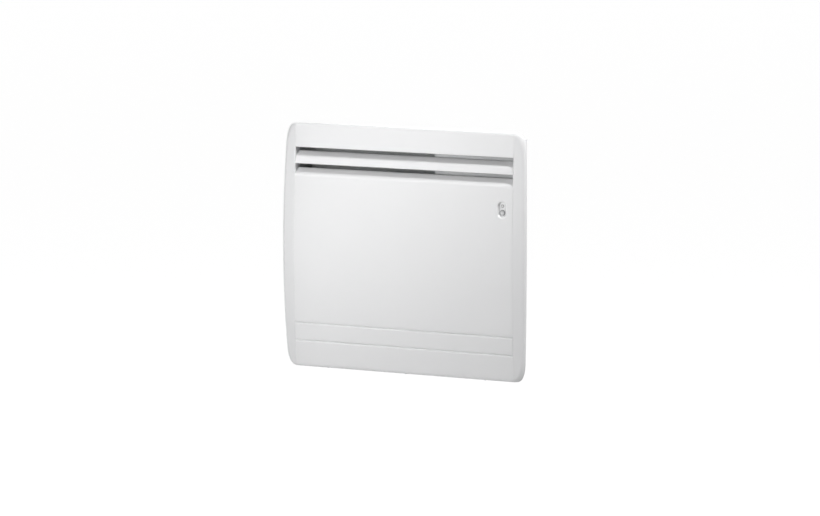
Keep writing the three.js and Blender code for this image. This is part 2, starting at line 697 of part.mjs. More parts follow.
/** Sunburst extrusion with its fins' tips on an ellipse, and a bore for the rod. */
function buildElement() {
  const outline = span(elementFins).flatMap((fin) => {
    const angle = (2 * Math.PI * (fin + 0.5)) / elementFins;
    const [c, s] = [Math.cos(angle), Math.sin(angle)];
    const tip = 1 / Math.hypot(c / (elementDeep / 2), s / (elementHeight / 2));
    const root = Math.sqrt((elementHub / 2) ** 2 - (finThickness / 2) ** 2);
    return [[root, -1], [tip - 0.5, -1], [tip, 0], [tip - 0.5, 1], [root, 1]].map(([along, across]) => {
      const offset = (across * finThickness) / 2;
      return [elementDepth + along * c - offset * s, elementZ + along * s + offset * c];
    });
  });
  const reach = [elementX - elementLength / 2, elementX + elementLength / 2];
  const bore = circle([elementDepth, elementZ], coreDiameter / 2 + fit, 16);
  add('heating_element', alongX(outline, reach, [bore]), 'aluminium');
}

const bushLength = 10;
const bushEnd = elementLength / 2 + fit + bushLength;

function buildElementCore() {
  const pinEnd = bushEnd + 8;
  const radius = coreDiameter / 2;
  const profile = [
    [0, -pinEnd], [1.6, -pinEnd], [1.6, -bushEnd - 1], [radius, -bushEnd - 1], [radius, bushEnd + 1],
    [1.6, bushEnd + 1], [1.6, pinEnd], [0, pinEnd],
  ];
  const place = [elementX, elementDepth, elementZ];
  add('element_rod', revolve(profile, 'x', place, 16), 'brightSteel');
  for (const [name, side] of sides) {
    const [start, end] = [elementLength / 2 + fit, bushEnd];
    const collar = start + 4;
    const ring = [
      [radius + fit, start], [bushRadius + 2, start], [bushRadius + 2, collar - 1], [bushRadius, collar - 1],
      [bushRadius, end], [radius + fit, end], [radius + fit, start],
    ].map(([r, along]) => [r, along * side]);
    add(`element_bush_${name}`, revolve(ring, 'x', place, 20), 'ceramic');
  }
}

/** Pressed plate on the rear shield that carries one end of the element in its bush. */
function buildElementSupports() {
  for (const [name, side] of sides) {
    const start = elementX + side * (elementLength / 2 + fit + 3 + fit);
    const plate = side > 0 ? [start, start + supportThickness] : [start - supportThickness, start];
    const foot = side > 0 ? [start, start + 12] : [start - 12, start];
    const back = shieldFace + shieldSheet + fit;
    const [low, high] = [elementZ - 20, elementZ + 20];
    const outline = [
      [back, low], [elementDepth, elementZ - 12], ...arc([elementDepth, elementZ], 12, -80, 80, 10),
      [elementDepth, elementZ + 12], [back, high],
    ];
    const hole = circle([elementDepth, elementZ], bushRadius + fit, 20);
    const web = alongX(outline, plate, [hole]);
    add(`element_support_${name}`, join(web, box(foot, [back, back + supportThickness], [low, high])),
      'zincSteel');
  }
}

/** Snap thermostat that cuts the element off if the outlet is covered, on its own clip. */
function buildCutout() {
  const [x, z] = [elementX + elementLength / 4, elementZ + elementHeight / 2 + 40];
  const [width, clipHeight, standOff, sheet] = [28, 12, 14, 1];
  const back = shieldFace + shieldSheet + fit;
  const front = back + standOff;
  const [across, up] = [about(x, width), about(z, clipHeight)];
  const clip = join(
    box(across, [back, back + sheet], about(z, clipHeight * 1.5)),
    box([across[0], across[0] + sheet], [back, front], up),
    box([across[1] - sheet, across[1]], [back, front], up),
    box(across, [front - sheet, front], up),
  );
  add('cutout_clip', clip, 'zincSteel');
  const profile = [[0, 0], [8, 0], [8, 1.5], [7, 1.5], [7, 6], [5.5, 7.5], [0, 7.5]];
  add('thermal_cutout', revolve(profile, 'depth', [x, front + fit, z], 24), 'blackPlastic');
}

buildRearShield();
buildBaffle();
buildElement();
buildElementCore();
buildElementSupports();
buildCutout();

// ---------------------------------------------------------------- control compartment

const leadHole = { deep: caseFront + 34, z: caseBottom + 50, radius: 7 };

/** L-shaped sheet: a partition beside the duct and a cover in front of the controls. */
function buildCompartmentShield() {
  const [low, high] = [caseBottom + caseSheet + fit, caseTop - caseSheet - fit];
  const leafFront = leafDepth + shieldSheet;
  const outline = [
    [partition, caseFront + fit], [partition + shieldSheet, caseFront + fit],
    [partition + shieldSheet, leafDepth], [caseInner - fit, leafDepth], [caseInner - fit, leafFront],
    [partition, leafFront],
  ];
  const leads = pin(leadHole.radius, [partition - 2, partition + 3], 'x', [0, leadHole.deep, leadHole.z], 16);
  const window = alongDepth(stadium([dishX - 24, dishHeight], 8, 16, 8), [leafDepth - 2, leafFront + 2]);
  add('compartment_shield', cut(alongZ(outline, [low, high]), leads, window), 'zincSteel');
}

function buildTerminalBlock() {
  const [x, z] = [glandX - 34, caseBottom + 52];
  const [poles, pitch, back] = [3, 14, caseFront + fit];
  const body = box([x - (poles * pitch) / 2, x + (poles * pitch) / 2], [back, back + 18], [z - 10, z + 10]);
  const ridges = span(poles + 1).map((index) => {
    const at = x + (index - poles / 2) * pitch;
    const [start, end] = [Math.max(at - 1, x - (poles * pitch) / 2), Math.min(at + 1, x + (poles * pitch) / 2)];
    return box([start, end], [back + 17, back + 24], [z - 10, z + 10]);
  });
  const wells = span(poles).flatMap((index) => {
    const at = x + (index - (poles - 1) / 2) * pitch;
    return [pin(3, [back + 10, back + 30], 'depth', [at, 0, z], 12),
      pin(2.6, [z - 12, z - 4], 'z', [at, back + 9, 0], 12),
      pin(2.6, [z + 4, z + 12], 'z', [at, back + 9, 0], 12)];
  });
  add('terminal_block', cut(join(body, ...ridges), ...wells), 'ceramic');
  return { x, z, pitch, deep: back + 9 };
}

/** Ring that lines the casing's supply inlet, with a groove that grips the sheet. */
function buildGland() {
  const neck = glandHole / 2 - fit;
  const [outer, bore] = [glandHole / 2 + 4, 4.5];
  const profile = [
    [bore, caseBottom - 6], [outer - 2, caseBottom - 6], [outer, caseBottom - 3.5],
    [outer, caseBottom - fit], [neck, caseBottom - fit],
    [neck, caseBottom + caseSheet + fit], [outer - 1, caseBottom + caseSheet + fit],
    [outer - 2, caseBottom + 12], [bore, caseBottom + 12], [bore, caseBottom - 6],
  ];
  add('supply_gland', revolve(profile, 'z', [glandX, glandDepth, 0], 24), 'blackPlastic');
}

const boardX = about(partition + 52, 60);
const boardZ = about(10, 100);
const relay = { width: 20, height: 28, rise: 16, inset: 8 };
const transformer = { width: 28, core: 26, winding: 36, rise: 20, inset: 8 };

/** Power board on two edge rails, with its relay and its transformer. */
function buildPowerBoard() {
  const back = caseFront + fit;
  const thickness = 1.6;
  const face = back + 9;
  add('power_board', box(boardX, [face, face + thickness], boardZ), 'board');
  for (const [name, side] of sides) {
    const edge = side < 0 ? boardX[0] : boardX[1];
    const inward = side < 0 ? 1 : -1;
    const range = (a, b) => [Math.min(edge + a * inward, edge + b * inward),
      Math.max(edge + a * inward, edge + b * inward)];
    const rail = cut(box(range(-3, 3), [back, face + thickness + 3], [boardZ[0] - 2, boardZ[1] + 2]),
      box(range(-fit, 4), [face - fit, face + thickness + fit], [boardZ[0] - fit, boardZ[1] + 3]));
    add(`board_rail_${name}`, rail, 'whitePlastic');
  }
  const front = face + thickness + fit;
  const relayX = boardX[0] + relay.inset + relay.width / 2;
  const relayZ = boardZ[0] + relay.inset + 2 + relay.height / 2;
  add('power_relay', box(about(relayX, relay.width), [front, front + relay.rise],
    about(relayZ, relay.height)), 'blackPlastic');
  const coreX = boardX[1] - transformer.inset - transformer.width / 2;
  const coreZ = boardZ[1] - transformer.inset - 7 - transformer.winding / 2;
  add('board_transformer', join(
    box(about(coreX, transformer.width), [front, front + transformer.rise], about(coreZ, transformer.core)),
    box(about(coreX, transformer.width - 6), [front + 1, front + transformer.rise - 1],
      about(coreZ, transformer.winding)),
  ), 'greyPlastic');
  return { face: front, x: boardX[1], low: boardZ[0] };
}

/** Small sensor for the room's temperature, in a clip near the intake. */
function buildSensor() {
  const [x, z] = [partition + 40, caseBottom + caseSheet + fit];
  const deep = glandDepth + 16;
  const clip = cut(join(box([x - 12, x + 12], [deep - 5, deep + 5], [z, z + 1.4]),
    box([x - 5, x + 5], [deep - 5, deep + 5], [z, z + 12])),
  pin(2.8, [x - 8, x + 8], 'x', [0, deep, z + 7], 16),
  box([x - 8, x + 8], [deep - 1.5, deep + 1.5], [z + 7, z + 14]));
  add('sensor_clip', clip, 'whitePlastic');
  const bead = [[0, -9], [1.8, -8.4], [2.5, -7], [2.5, 7], [1.8, 8.4], [0, 9]];
  add('temperature_sensor', revolve(bead, 'x', [x, deep, z + 7], 16), 'blackPlastic');
}

buildCompartmentShield();
const terminals = buildTerminalBlock();
buildGland();
const powerBoard = buildPowerBoard();
buildSensor();

// ---------------------------------------------------------------- top controls

const rimThickness = 2.4;
const rimTop = caseTop + fit + rimThickness;
const dialX = housingX - housingWidth / 2 + dialDiameter / 2 + 8;
const sliderX = housingX + housingWidth / 2 - 30;
const sliderWidth = 8;
const stemRadius = 3;
const sliderStem = [4, 3];     // width and depth of the slider's stem
const stemSlot = [sliderTravel + sliderStem[0] + 2 * fit, sliderStem[1] + 2 * fit];

/** Housing dropped into the casing's top, open below, with a rim that rests on the sheet. */
function buildHousing() {
  const [x0, x1] = about(housingX, housingWidth);
  const [d0, d1] = about(housingDepth, housingDeep);
  const rim = box([x0 - 4, x1 + 4], [d0 - 2.5, d1 + 2.5], [caseTop + fit, rimTop]);
  const tub = box([x0, x1], [d0, d1], [caseTop - housingDrop, rimTop]);
  const hollow = box([x0 + housingWall, x1 - housingWall], [d0 + housingWall, d1 - housingWall],
    [caseTop - housingDrop - 1, rimTop - rimThickness]);
  const shaftHole = pin(stemRadius + fit, [caseTop - 5, rimTop + 5], 'z', [dialX, housingDepth, 0], 20);
  const slot = box(about(sliderX, stemSlot[0]), about(housingDepth, stemSlot[1]), [caseTop - 5, rimTop + 5]);
  add('control_housing', cut(join(rim, tub), hollow, shaftHole, slot), 'whitePlastic');
}

/** Thermostat under the housing's top; its shaft is the dial's. */
function buildThermostat() {
  const under = rimTop - rimThickness - fit;
  const place = [dialX, housingDepth, 0];
  const body = cut(box(about(dialX, 26), about(housingDepth, 26), [under - 16, under]),
    pin(stemRadius + fit, [under - 10, under + 1], 'z', place, 20));
  add('thermostat_body', body, 'blackPlastic');
  const radius = dialDiameter / 2;
  const base = rimTop + fit;
  const top = caseTop + dialRise;
  const knurls = 28;
  const grip = span(knurls * 2).map((index) => {
    const angle = (Math.PI * index) / knurls;
    const reach = index % 2 ? radius : radius - 0.7;
    return [dialX + reach * Math.cos(angle), housingDepth + reach * Math.sin(angle)];
  });
  const knob = join(alongZ(grip, [base, top - 1]),
    revolve([[0, top - 1.2], [radius - 0.9, top - 1.2], [radius - 0.9, top - 0.8], [radius - 2.2, top],
      [0, top]], 'z', place, 28),
    pin(stemRadius, [under - 9, base + 1], 'z', place, 20));
  const pointer = box([dialX - 0.8, dialX + 0.8], [housingDepth + 4, housingDepth + radius - 3],
    [top - 0.6, top + 1]);
  add('thermostat_dial', knob.subtract(pointer), 'greyPlastic');
}

/** Mode slider: a ridged thumb piece on a stem that runs in the housing's slot. */
function buildModeSlider() {
  const under = rimTop - rimThickness - fit;
  const rest = sliderX - sliderTravel / 2;
  const thumbDeep = about(housingDepth, 14);
  const base = rimTop + fit;
  const grooves = [-2.2, 0, 2.2].map((at) => box([rest + at - 0.5, rest + at + 0.5],
    [thumbDeep[0] - 1, thumbDeep[1] + 1], [base + 3, base + 6]));
  const thumb = cut(box(about(rest, sliderWidth), thumbDeep, [base, base + 4]), ...grooves);
  const stem = box(about(rest, sliderStem[0]), about(housingDepth, sliderStem[1]), [under - 4, base + 1]);
  add('mode_slider', join(thumb, stem), 'greyPlastic');
  const reach = sliderTravel / 2 + 6;
  const body = cut(box(about(sliderX, 2 * reach), about(housingDepth, 16), [under - 12, under]),
  box(about(sliderX, stemSlot[0]), about(housingDepth, stemSlot[1]), [under - 5, under + 1]));
  add('mode_switch', body, 'blackPlastic');
}

buildHousing();
buildThermostat();
buildModeSlider();

// ---------------------------------------------------------------- front control dish

// The dish and what sits in it are built square to a flat front, in a group that is then tilted
// to the arch. Inside the group y = 0 is the front's surface and -depth below is into the room.
const dish = new THREE.Group();
dish.position.set(dishX, -frontDepth(dishHeight), dishHeight);
dish.rotation.x = -degrees(frontAngle(dishHeight));
heater.add(dish);

const floorDepth = -dishDepth;
const floorBack = floorDepth - dishWall;
const dishRing = (inset, deep) => stadium([0, 0], dishWidth / 2 - inset, dishLength / 2 - inset, 12)
  .map(([x, z]) => [x, deep, z]);
const buttonZ = -buttonBelow;
const buttonRadius = buttonDiameter / 2;
const flangeRadius = buttonRadius + 1.3;
const stemEnd = floorBack - 12;
const switchFront = stemEnd - buttonTravel - fit;
const frontBoard = switchFront - 4;

function buildDish() {
  const outside = loft([dishRing(0, 0), dishRing(0, -2.5), dishRing(1.2, floorDepth),
    dishRing(1.2, floorBack)]);
  const bowl = loft([dishRing(0.5, 1), dishRing(0.9, -0.2), dishRing(1.5, -2),
    dishRing(2.6, -dishDepth * 0.72), dishRing(dishFlare, floorDepth)]);
  const holes = [
    pin(buttonRadius + fit, [floorBack - 1, 0], 'depth', [0, 0, buttonZ], 28),
    pin(lampDiameter / 2 + fit, [floorBack - 1, 0], 'depth', [0, 0, lampAbove], 20),
  ];
  const posts = [-1, 1].map((end) => pin(1.6, [frontBoard + fit, floorBack + 0.6], 'depth',
    [0, 0, end * (dishLength / 2 - 3.2)], 10));
  add('control_dish', join(cut(outside, bowl, ...holes), ...posts), 'whitePlastic', dish);
}

function buildButton() {
  const crown = floorDepth + 2.6;
  const profile = [
    [0, crown - 0.3], [buttonRadius * 0.5, crown - 0.1], [buttonRadius - 1, crown],
    [buttonRadius, crown - 0.9], [buttonRadius, floorBack - fit], [flangeRadius, floorBack - fit],
    [flangeRadius, floorBack - fit - 1.3], [2.5, floorBack - fit - 1.3], [2.5, stemEnd], [0, stemEnd],
  ];
  add('push_button', revolve(profile, 'depth', [0, 0, buttonZ], 28), 'greyPlastic', dish);
}

/** Return spring between the button's flange and the small board behind it. */
function buildButtonSpring() {
  const [radius, wire, turns, steps, faces] = [4, 0.4, 3, 10, 5];
  const start = floorBack - fit - 1.3 - fit - wire;
  const end = frontBoard + fit + wire;
  const centre = (share) => {
    const angle = 2 * Math.PI * turns * share;
    return new THREE.Vector3(radius * Math.cos(angle), -(start + (end - start) * share),
      buttonZ + radius * Math.sin(angle));
  };
  const count = turns * steps;
  const rings = span(count + 1).map((index) => {
    const share = index / count;
    const middle = centre(share);
    const out = new THREE.Vector3(middle.x, 0, middle.z - buttonZ).normalize();
    return span(faces).map((face) => {
      const angle = (2 * Math.PI * face) / faces;
      const point = middle.clone().addScaledVector(out, wire * Math.cos(angle));
      point.y += wire * Math.sin(angle);
      return [point.x, -point.y, point.z];
    });
  });
  add('button_spring', loft(rings), 'brightSteel', dish);
}

function buildFrontBoard() {
  const thickness = 1.4;
  const outline = stadium([0, 0], dishWidth / 2 - 2.4, dishLength / 2 + 3, 10);
  add('indicator_board', alongDepth(outline, [frontBoard - thickness, frontBoard]), 'board', dish);
  add('button_switch', join(
    box([-2.3, 2.3], [frontBoard + fit, switchFront - 1], [buttonZ - 2.3, buttonZ + 2.3]),
    pin(1.6, [switchFront - 1.5, switchFront], 'depth', [0, 0, buttonZ], 14),
  ), 'blackPlastic', dish);
  const lampTop = floorDepth + 0.6;
  const radius = lampDiameter / 2;
  const lens = [
    [0, lampTop + 0.7], [radius * 0.6, lampTop + 0.45], [radius, lampTop - 0.6], [radius, floorBack - fit],
    [radius + 1, floorBack - fit], [radius + 1, floorBack - 1.5], [radius - 0.4, floorBack - 1.5],
    [radius - 0.4, frontBoard + 4.4], [0, frontBoard + 4.4],
  ];
  add('indicator_lens', revolve(lens, 'depth', [0, 0, lampAbove], 20), 'lens', dish);
  add('indicator_lamp', revolve([[0, frontBoard + fit], [1.9, frontBoard + fit], [1.9, frontBoard + 3],
    [1, frontBoard + 4], [0, frontBoard + 4.1]], 'depth', [0, 0, lampAbove], 16), 'lens', dish);
}

buildDish();
buildButton();
buildButtonSpring();
buildFrontBoard();

// ---------------------------------------------------------------- wiring

/** Round lead through a list of [x, depth, z] places. */
function lead(name, places, radius, finish) {
  const path = new THREE.CatmullRomCurve3(places.map(([x, deep, z]) => new THREE.Vector3(x, -deep, z)),
    false, 'centripetal');
  const section = new THREE.Shape(circle([0, 0], radius, 8).map(([x, y]) => new THREE.Vector2(x, y)));
  const steps = Math.min(Math.ceil(path.getLength() / (radius * 6)), 60);
  add(name, solid(new THREE.ExtrudeGeometry(section, { extrudePath: path, steps })), finish);
}

function buildLeads() {
  const wire = 1.6;
  const rodTip = elementX + bushEnd + 8 + fit;
  const rodStart = elementX - bushEnd - 8 - fit;
  const wellTop = terminals.z + 4 + fit;
  const [first, second] = [terminals.x - terminals.pitch, terminals.x];
  lead('element_lead_right', [
    [rodTip, elementDepth, elementZ], [rodTip + 5, elementDepth, elementZ - 0.5],
    [partition - 14, leadHole.deep, leadHole.z + 14], [partition - 5, leadHole.deep, leadHole.z + 2.6],
    [partition + 8, leadHole.deep, leadHole.z + 2.4], [partition + 60, leadHole.deep - 6, leadHole.z + 18],
    [first - 8, terminals.deep + 6, terminals.z + 24], [first, terminals.deep, terminals.z + 16],
    [first, terminals.deep, wellTop],
  ], wire, 'redCover');
  lead('element_lead_left', [
    [rodStart, elementDepth, elementZ], [rodStart - 4, elementDepth, elementZ - 0.5],
    [rodStart - 5, elementDepth - 6, elementZ - 24], [rodStart + 14, leadHole.deep, leadHole.z + 2],
    [elementX, leadHole.deep, leadHole.z - 3], [partition - 20, leadHole.deep, leadHole.z - 3],
    [partition + 8, leadHole.deep, leadHole.z - 3], [partition + 60, leadHole.deep - 4, leadHole.z + 6],
    [second - 10, terminals.deep + 12, terminals.z + 34], [second, terminals.deep, terminals.z + 20],
    [second, terminals.deep, wellTop],
  ], wire, 'blueCover');
  const boardEnd = { x: dishX - 3, deep: frontDepth(dishHeight) + frontBoard - 2.2 };
  lead('indicator_lead', [
    [boardEnd.x, boardEnd.deep, dishHeight], [boardEnd.x, boardEnd.deep - 2, dishHeight],
    [dishX - 22, leafDepth + 4, dishHeight - 4], [dishX - 26, leafDepth - 6, dishHeight - 8],
    [dishX - 50, leafDepth - 22, dishHeight - 60],
    [powerBoard.x - 2, powerBoard.face + 14, powerBoard.low + 42],
    [powerBoard.x - 12, powerBoard.face + 6, powerBoard.low + 26],
    [powerBoard.x - 13, powerBoard.face + 0.5, powerBoard.low + 24],
  ], 1.2, 'blackPlastic');
}

buildLeads();

export default heater;
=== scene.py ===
# %% [markdown]
# # A wall panel convector heater
# The heater hangs on a wall bracket. What a person sees is a white pressed-steel front that is
# gently arched from top to bottom, two louvred slots under its top edge, a moulded cap at each
# end, and a small dish with a push button and an indicator. The steel frame of the design is
# loaded first. It stays as it is, and each piece below is dressed around it in the same place.

# %% The frame, and the libraries
import math

import bpy
import numpy as np
from mathutils import Matrix, Vector


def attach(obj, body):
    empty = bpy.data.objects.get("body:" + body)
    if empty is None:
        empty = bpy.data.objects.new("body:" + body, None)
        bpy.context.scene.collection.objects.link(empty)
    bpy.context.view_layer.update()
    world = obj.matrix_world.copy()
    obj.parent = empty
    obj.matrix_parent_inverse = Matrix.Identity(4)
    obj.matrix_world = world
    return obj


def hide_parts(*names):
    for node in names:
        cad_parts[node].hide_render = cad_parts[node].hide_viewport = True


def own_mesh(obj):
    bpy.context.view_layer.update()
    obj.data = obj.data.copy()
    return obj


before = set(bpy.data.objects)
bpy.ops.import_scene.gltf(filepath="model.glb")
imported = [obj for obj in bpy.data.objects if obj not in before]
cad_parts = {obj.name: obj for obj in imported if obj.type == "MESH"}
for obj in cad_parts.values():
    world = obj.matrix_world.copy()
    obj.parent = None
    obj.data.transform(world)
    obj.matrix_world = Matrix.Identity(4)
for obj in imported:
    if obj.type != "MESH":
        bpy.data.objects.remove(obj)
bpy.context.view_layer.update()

# %% [markdown]
# ## The camera
# The photograph looks at the heater from its right and a little from above, with a long lens. A
# camera is placed by what it looks at, how far away it stands, and two angles. Its axes are
# worked out from these, so that nothing has to be turned by hand.

# %% Camera
def camera_towards(target, distance, yaw, pitch, roll, lens):
    """Stands at target + distance * (sin yaw cos pitch, -cos yaw cos pitch, sin pitch), looking back."""
    yaw, pitch = math.radians(yaw), math.radians(pitch)
    back = Vector((math.sin(yaw) * math.cos(pitch), -math.cos(yaw) * math.cos(pitch), math.sin(pitch)))
    right = Vector((math.cos(yaw), math.sin(yaw), 0))
    up = back.cross(right)
    camera = bpy.data.objects.new("camera", bpy.data.cameras.new("camera"))
    bpy.context.scene.collection.objects.link(camera)
    axes = Matrix((right, up, back)).transposed() @ Matrix.Rotation(math.radians(roll), 3, "Z")
    camera.matrix_world = Matrix.Translation(Vector(target) + back * distance) @ axes.to_4x4()
    camera.data.sensor_width, camera.data.lens = 36, lens
    camera.data.clip_start, camera.data.clip_end = 0.1, 100
    bpy.context.scene.camera = camera
    return camera


camera = camera_towards(
    target=(0.0212, -0.112, -0.0117), distance=8.32, yaw=23.94, pitch=8.32, roll=0.06, lens=158.3)
print("camera at", [round(place, 2) for place in camera.location], "with a lens of", camera.data.lens, "mm")

# %% [markdown]
# ## Grids become meshes
# A new piece is a surface worked out on a grid of points, or a few such grids side by side. One
# function turns the grids into a mesh: every cell of a grid becomes a face, and corners that
# meet become one corner, so that light runs smoothly over the seam. Sheet metal and mouldings
# then get their wall with the Solidify modifier. Sizes are in millimetres and are written as
# (x, depth, z), where depth is the distance from the wall, as a designer would measure them.

# %% From grids to pieces
MERGED = 2e-6                                  # corners closer than this, in metres, become one


def at(x, depth, z):
    """Stacks x, depth and z, broadcast to one shape, into points in millimetres."""
    return np.stack(np.broadcast_arrays(np.asarray(x, float), depth, z), -1)


def mesh_from_grids(name, grids, sharp=38.0):
    """Cell (i, j) of a grid is the face i,j - i+1,j - i+1,j+1 - i,j+1; its front is di x dj."""
    corners, cells, start = [], [], 0
    for grid in grids:
        rows, columns = grid.shape[:2]
        index = start + np.arange(rows * columns).reshape(rows, columns)
        four = np.stack([index[:-1, :-1], index[1:, :-1], index[1:, 1:], index[:-1, 1:]], -1)
        cells.append(four.reshape(-1, 4))
        corners.append(grid.reshape(-1, 3))
        start += rows * columns
    corners = np.concatenate(corners) * [1, -1, 1] / 1000
    _, first, inverse = np.unique(
        np.round(corners / MERGED).astype(np.int64), axis=0, return_index=True, return_inverse=True)
    cells = inverse.reshape(-1)[np.concatenate(cells)]
    same = cells == np.roll(cells, -1, axis=1)
    whole = cells[same.sum(1) == 0]
    whole = whole[(whole[:, 0] != whole[:, 2]) & (whole[:, 1] != whole[:, 3])]
    pinched = cells[same.sum(1) == 1]
    triangles = pinched[~same[same.sum(1) == 1]].reshape(-1, 3)
    mesh = bpy.data.meshes.new(name)
    mesh.from_pydata(corners[first].tolist(), [], whole.tolist() + triangles.tolist())
    mesh.shade_smooth()
    mesh.set_sharp_from_angle(angle=math.radians(sharp))
    return mesh


def piece(name, grids, body, finish, wall=0.0, stands_for=(), sharp=38.0):
    """Makes an object of the grids, gives it its wall inwards and its finish, and lets it ride."""
    thing = bpy.data.objects.new(name, mesh_from_grids(name, grids, sharp))
    bpy.context.scene.collection.objects.link(thing)
    if wall:
        solidify = thing.modifiers.new("wall", "SOLIDIFY")
        solidify.thickness, solidify.offset = wall / 1000, -1
        evaluated = thing.evaluated_get(bpy.context.evaluated_depsgraph_get())
        shaped = bpy.data.meshes.new_from_object(evaluated)
        thing.modifiers.clear()
        thing.data = shaped
        thing.data.name = name
        thing.data.set_sharp_from_angle(angle=math.radians(sharp))
    thing.data.materials.clear()
    thing.data.materials.append(finish)
    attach(thing, body)
    if stands_for:
        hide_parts(*stands_for)
    print(name, len(thing.data.polygons), "faces")
    return thing

# %% [markdown]
# ## Curves that the pieces are made of
# The front is a shallow parabola from top to bottom: its depth falls by 11.8 mm from the middle
# to either edge. Bends and curls are arcs, and a fold in the sheet is a corner with a small
# radius. All profiles are lists of (depth, z) points, from below to above.

# %% Arcs, the arch and folded corners
HALF, CROWN, BULGE = 287.5, 112.0, 11.8        # half height, depth at the middle, and its loss
SIDE = 275.3                                   # middle to the steel front's side
BACK = 80.0                                    # depth of the front's back edges
SHEET = 1.2                                    # thickness of the steel, of front and casing
EDGE_BEND = 8.5                                # radius of the bends at the top and bottom edges
SCREW_LEVELS = (200, 0, -200)                  # heights of the screws of a cap


def front_depth(z):
    """Depth of the arched front: crown - bulge * (z / half)^2."""
    return CROWN - BULGE * (np.asarray(z, float) / HALF) ** 2


def front_tilt(z):
    """Angle of the front's normal above level, in degrees: the arctangent of the arch's slope."""
    return math.degrees(math.atan(2 * BULGE * z / HALF**2))


def turn(centre, radius, start, end, steps):
    """Arc: centre + radius * (cos a, sin a), with a from start to end; 0 is the room and 90 is up."""
    a = np.radians(np.linspace(start, end, steps + 1))
    return np.stack([centre[0] + radius * np.cos(a), centre[1] + radius * np.sin(a)], 1)


def folded(points, radius, steps=5):
    """Rounds the corners of a polyline: each is replaced by the arc that touches both of its sides."""
    points = np.asarray(points, float)
    out = [points[:1]]
    for before, corner, after in zip(points[:-2], points[1:-1], points[2:]):
        into, away = corner - before, after - corner
        into, away = into / np.linalg.norm(into), away / np.linalg.norm(away)
        swing = math.atan2(into[0] * away[1] - into[1] * away[0], into @ away)
        reach = radius * math.tan(abs(swing) / 2)
        side = np.array([-into[1], into[0]]) * math.copysign(1, swing)
        centre = corner - into * reach + side * radius
        spoke = -side * radius
        a = np.linspace(0, swing, steps + 1)
        out.append(centre + np.stack([spoke[0] * np.cos(a) - spoke[1] * np.sin(a),
                                      spoke[0] * np.sin(a) + spoke[1] * np.cos(a)], 1))
    return np.concatenate([*out, points[-1:]])


def edge_bend(steps=14):
    """Bend from the arch into the flat top: from the arch's own angle up to 90 degrees."""
    tilt = front_tilt(HALF)
    start = HALF - EDGE_BEND + EDGE_BEND * math.sin(math.radians(tilt))
    centre = (front_depth(start) - EDGE_BEND * math.cos(math.radians(tilt)), HALF - EDGE_BEND)
    return turn(centre, EDGE_BEND, tilt, 90, steps)


def swept(profile, stations):
    """Carries a (depth, z) profile along x: point (i, j) is (station i, profile j)."""
    profile = np.asarray(profile, float)
    return at(np.asarray(stations, float)[:, None], profile[None, :, 0], profile[None, :, 1])


print("the front is", front_depth(0), "mm deep in the middle and", front_depth(HALF), "mm at its edges")

# %% [markdown]
# ## Finishes as small formulas
# A finish is a network of shader nodes. It is easier to read as arithmetic, so a thin wrapper
# around a socket adds the Math node for each sign, and one method makes every other node. A
# pattern reads object coordinates in metres, so it has its real scale: the orange peel of a
# powder coat is one or two millimetres across, and the crystals of galvanised sheet several. A
# picture would have to be wrapped around each piece, while a formula fits all of them.

# %% A socket that can be added and multiplied
class Signal:
    """A number that changes over a surface. Arithmetic on it adds Math nodes."""

    def __init__(self, tree, socket):
        self.tree, self.socket = tree, socket

    def maths(self, operation, *values):
        node = self.tree.nodes.new("ShaderNodeMath")
        node.operation = operation
        for place, value in zip(node.inputs, values):
            if isinstance(value, Signal):
                self.tree.links.new(value.socket, place)
            else:
                place.default_value = value
        return Signal(self.tree, node.outputs[0])

    def __add__(self, other):
        return self.maths("ADD", self, other)

    def __mul__(self, other):
        return self.maths("MULTIPLY", self, other)

    def __sub__(self, other):
        return self.maths("SUBTRACT", self, other)

    def __rsub__(self, other):
        return self.maths("SUBTRACT", other, self)

    def __gt__(self, other):
        return self.maths("GREATER_THAN", self, other)

    __radd__, __rmul__ = __add__, __mul__


class Nodes:
    """Makes the nodes of a material or of the world, one method for all kinds."""

    def __init__(self, tree):
        self.tree = tree

    def node(self, kind, inputs=None, output=0, **settings):
        """Adds a node: first its settings, then the values or links of its sockets."""
        node = self.tree.nodes.new(kind)
        for name, value in settings.items():
            setattr(node, name, value)
        for name, value in (inputs or {}).items():
            if isinstance(value, Signal):
                self.tree.links.new(value.socket, node.inputs[name])
            else:
                node.inputs[name].default_value = value
        return Signal(self.tree, node.outputs[output])

    def colours(self, share, first, second):
        """Blends two colours by a share from 0 to 1."""
        inputs = {0: share, 6: (*first, 1), 7: (*second, 1)}
        return self.node("ShaderNodeMix", inputs, output=2, data_type="RGBA", clamp_factor=True)


class Finish(Nodes):
    """A material with one Principled shader; the plain numbers are set on the shader itself."""

    def __init__(self, name, **numbers):
        self.material = bpy.data.materials.new(name)
        self.material.use_nodes = True
        super().__init__(self.material.node_tree)
        self.shader = self.tree.nodes["Principled BSDF"]
        for socket, value in numbers.items():
            self.shader.inputs[socket.replace("_", " ")].default_value = value
        self.place = self.node("ShaderNodeTexCoord", output="Object")

    def noise(self, scale, detail=2.0, rough=0.5, place=None):
        """Cloudy noise from 0 to 1 with about `scale` lumps in a metre."""
        inputs = {"Vector": place or self.place, "Scale": scale, "Detail": detail, "Roughness": rough}
        return self.node("ShaderNodeTexNoise", inputs)

    def stretched(self, x, y, z):
        """Object coordinates drawn out, so that a pattern becomes streaks."""
        inputs = {"Vector": self.place, "Scale": (x, y, z)}
        return self.node("ShaderNodeMapping", inputs, vector_type="POINT")

    def set(self, **signals):
        for socket, signal in signals.items():
            self.tree.links.new(signal.socket, self.shader.inputs[socket.replace("_", " ")])
        return self

    def bump(self, height, strength, distance):
        """Turns a height from 0 to 1 into small changes of the normal; distance is in metres."""
        inputs = {"Height": height, "Strength": strength, "Distance": distance}
        return self.set(Normal=self.node("ShaderNodeBump", inputs))

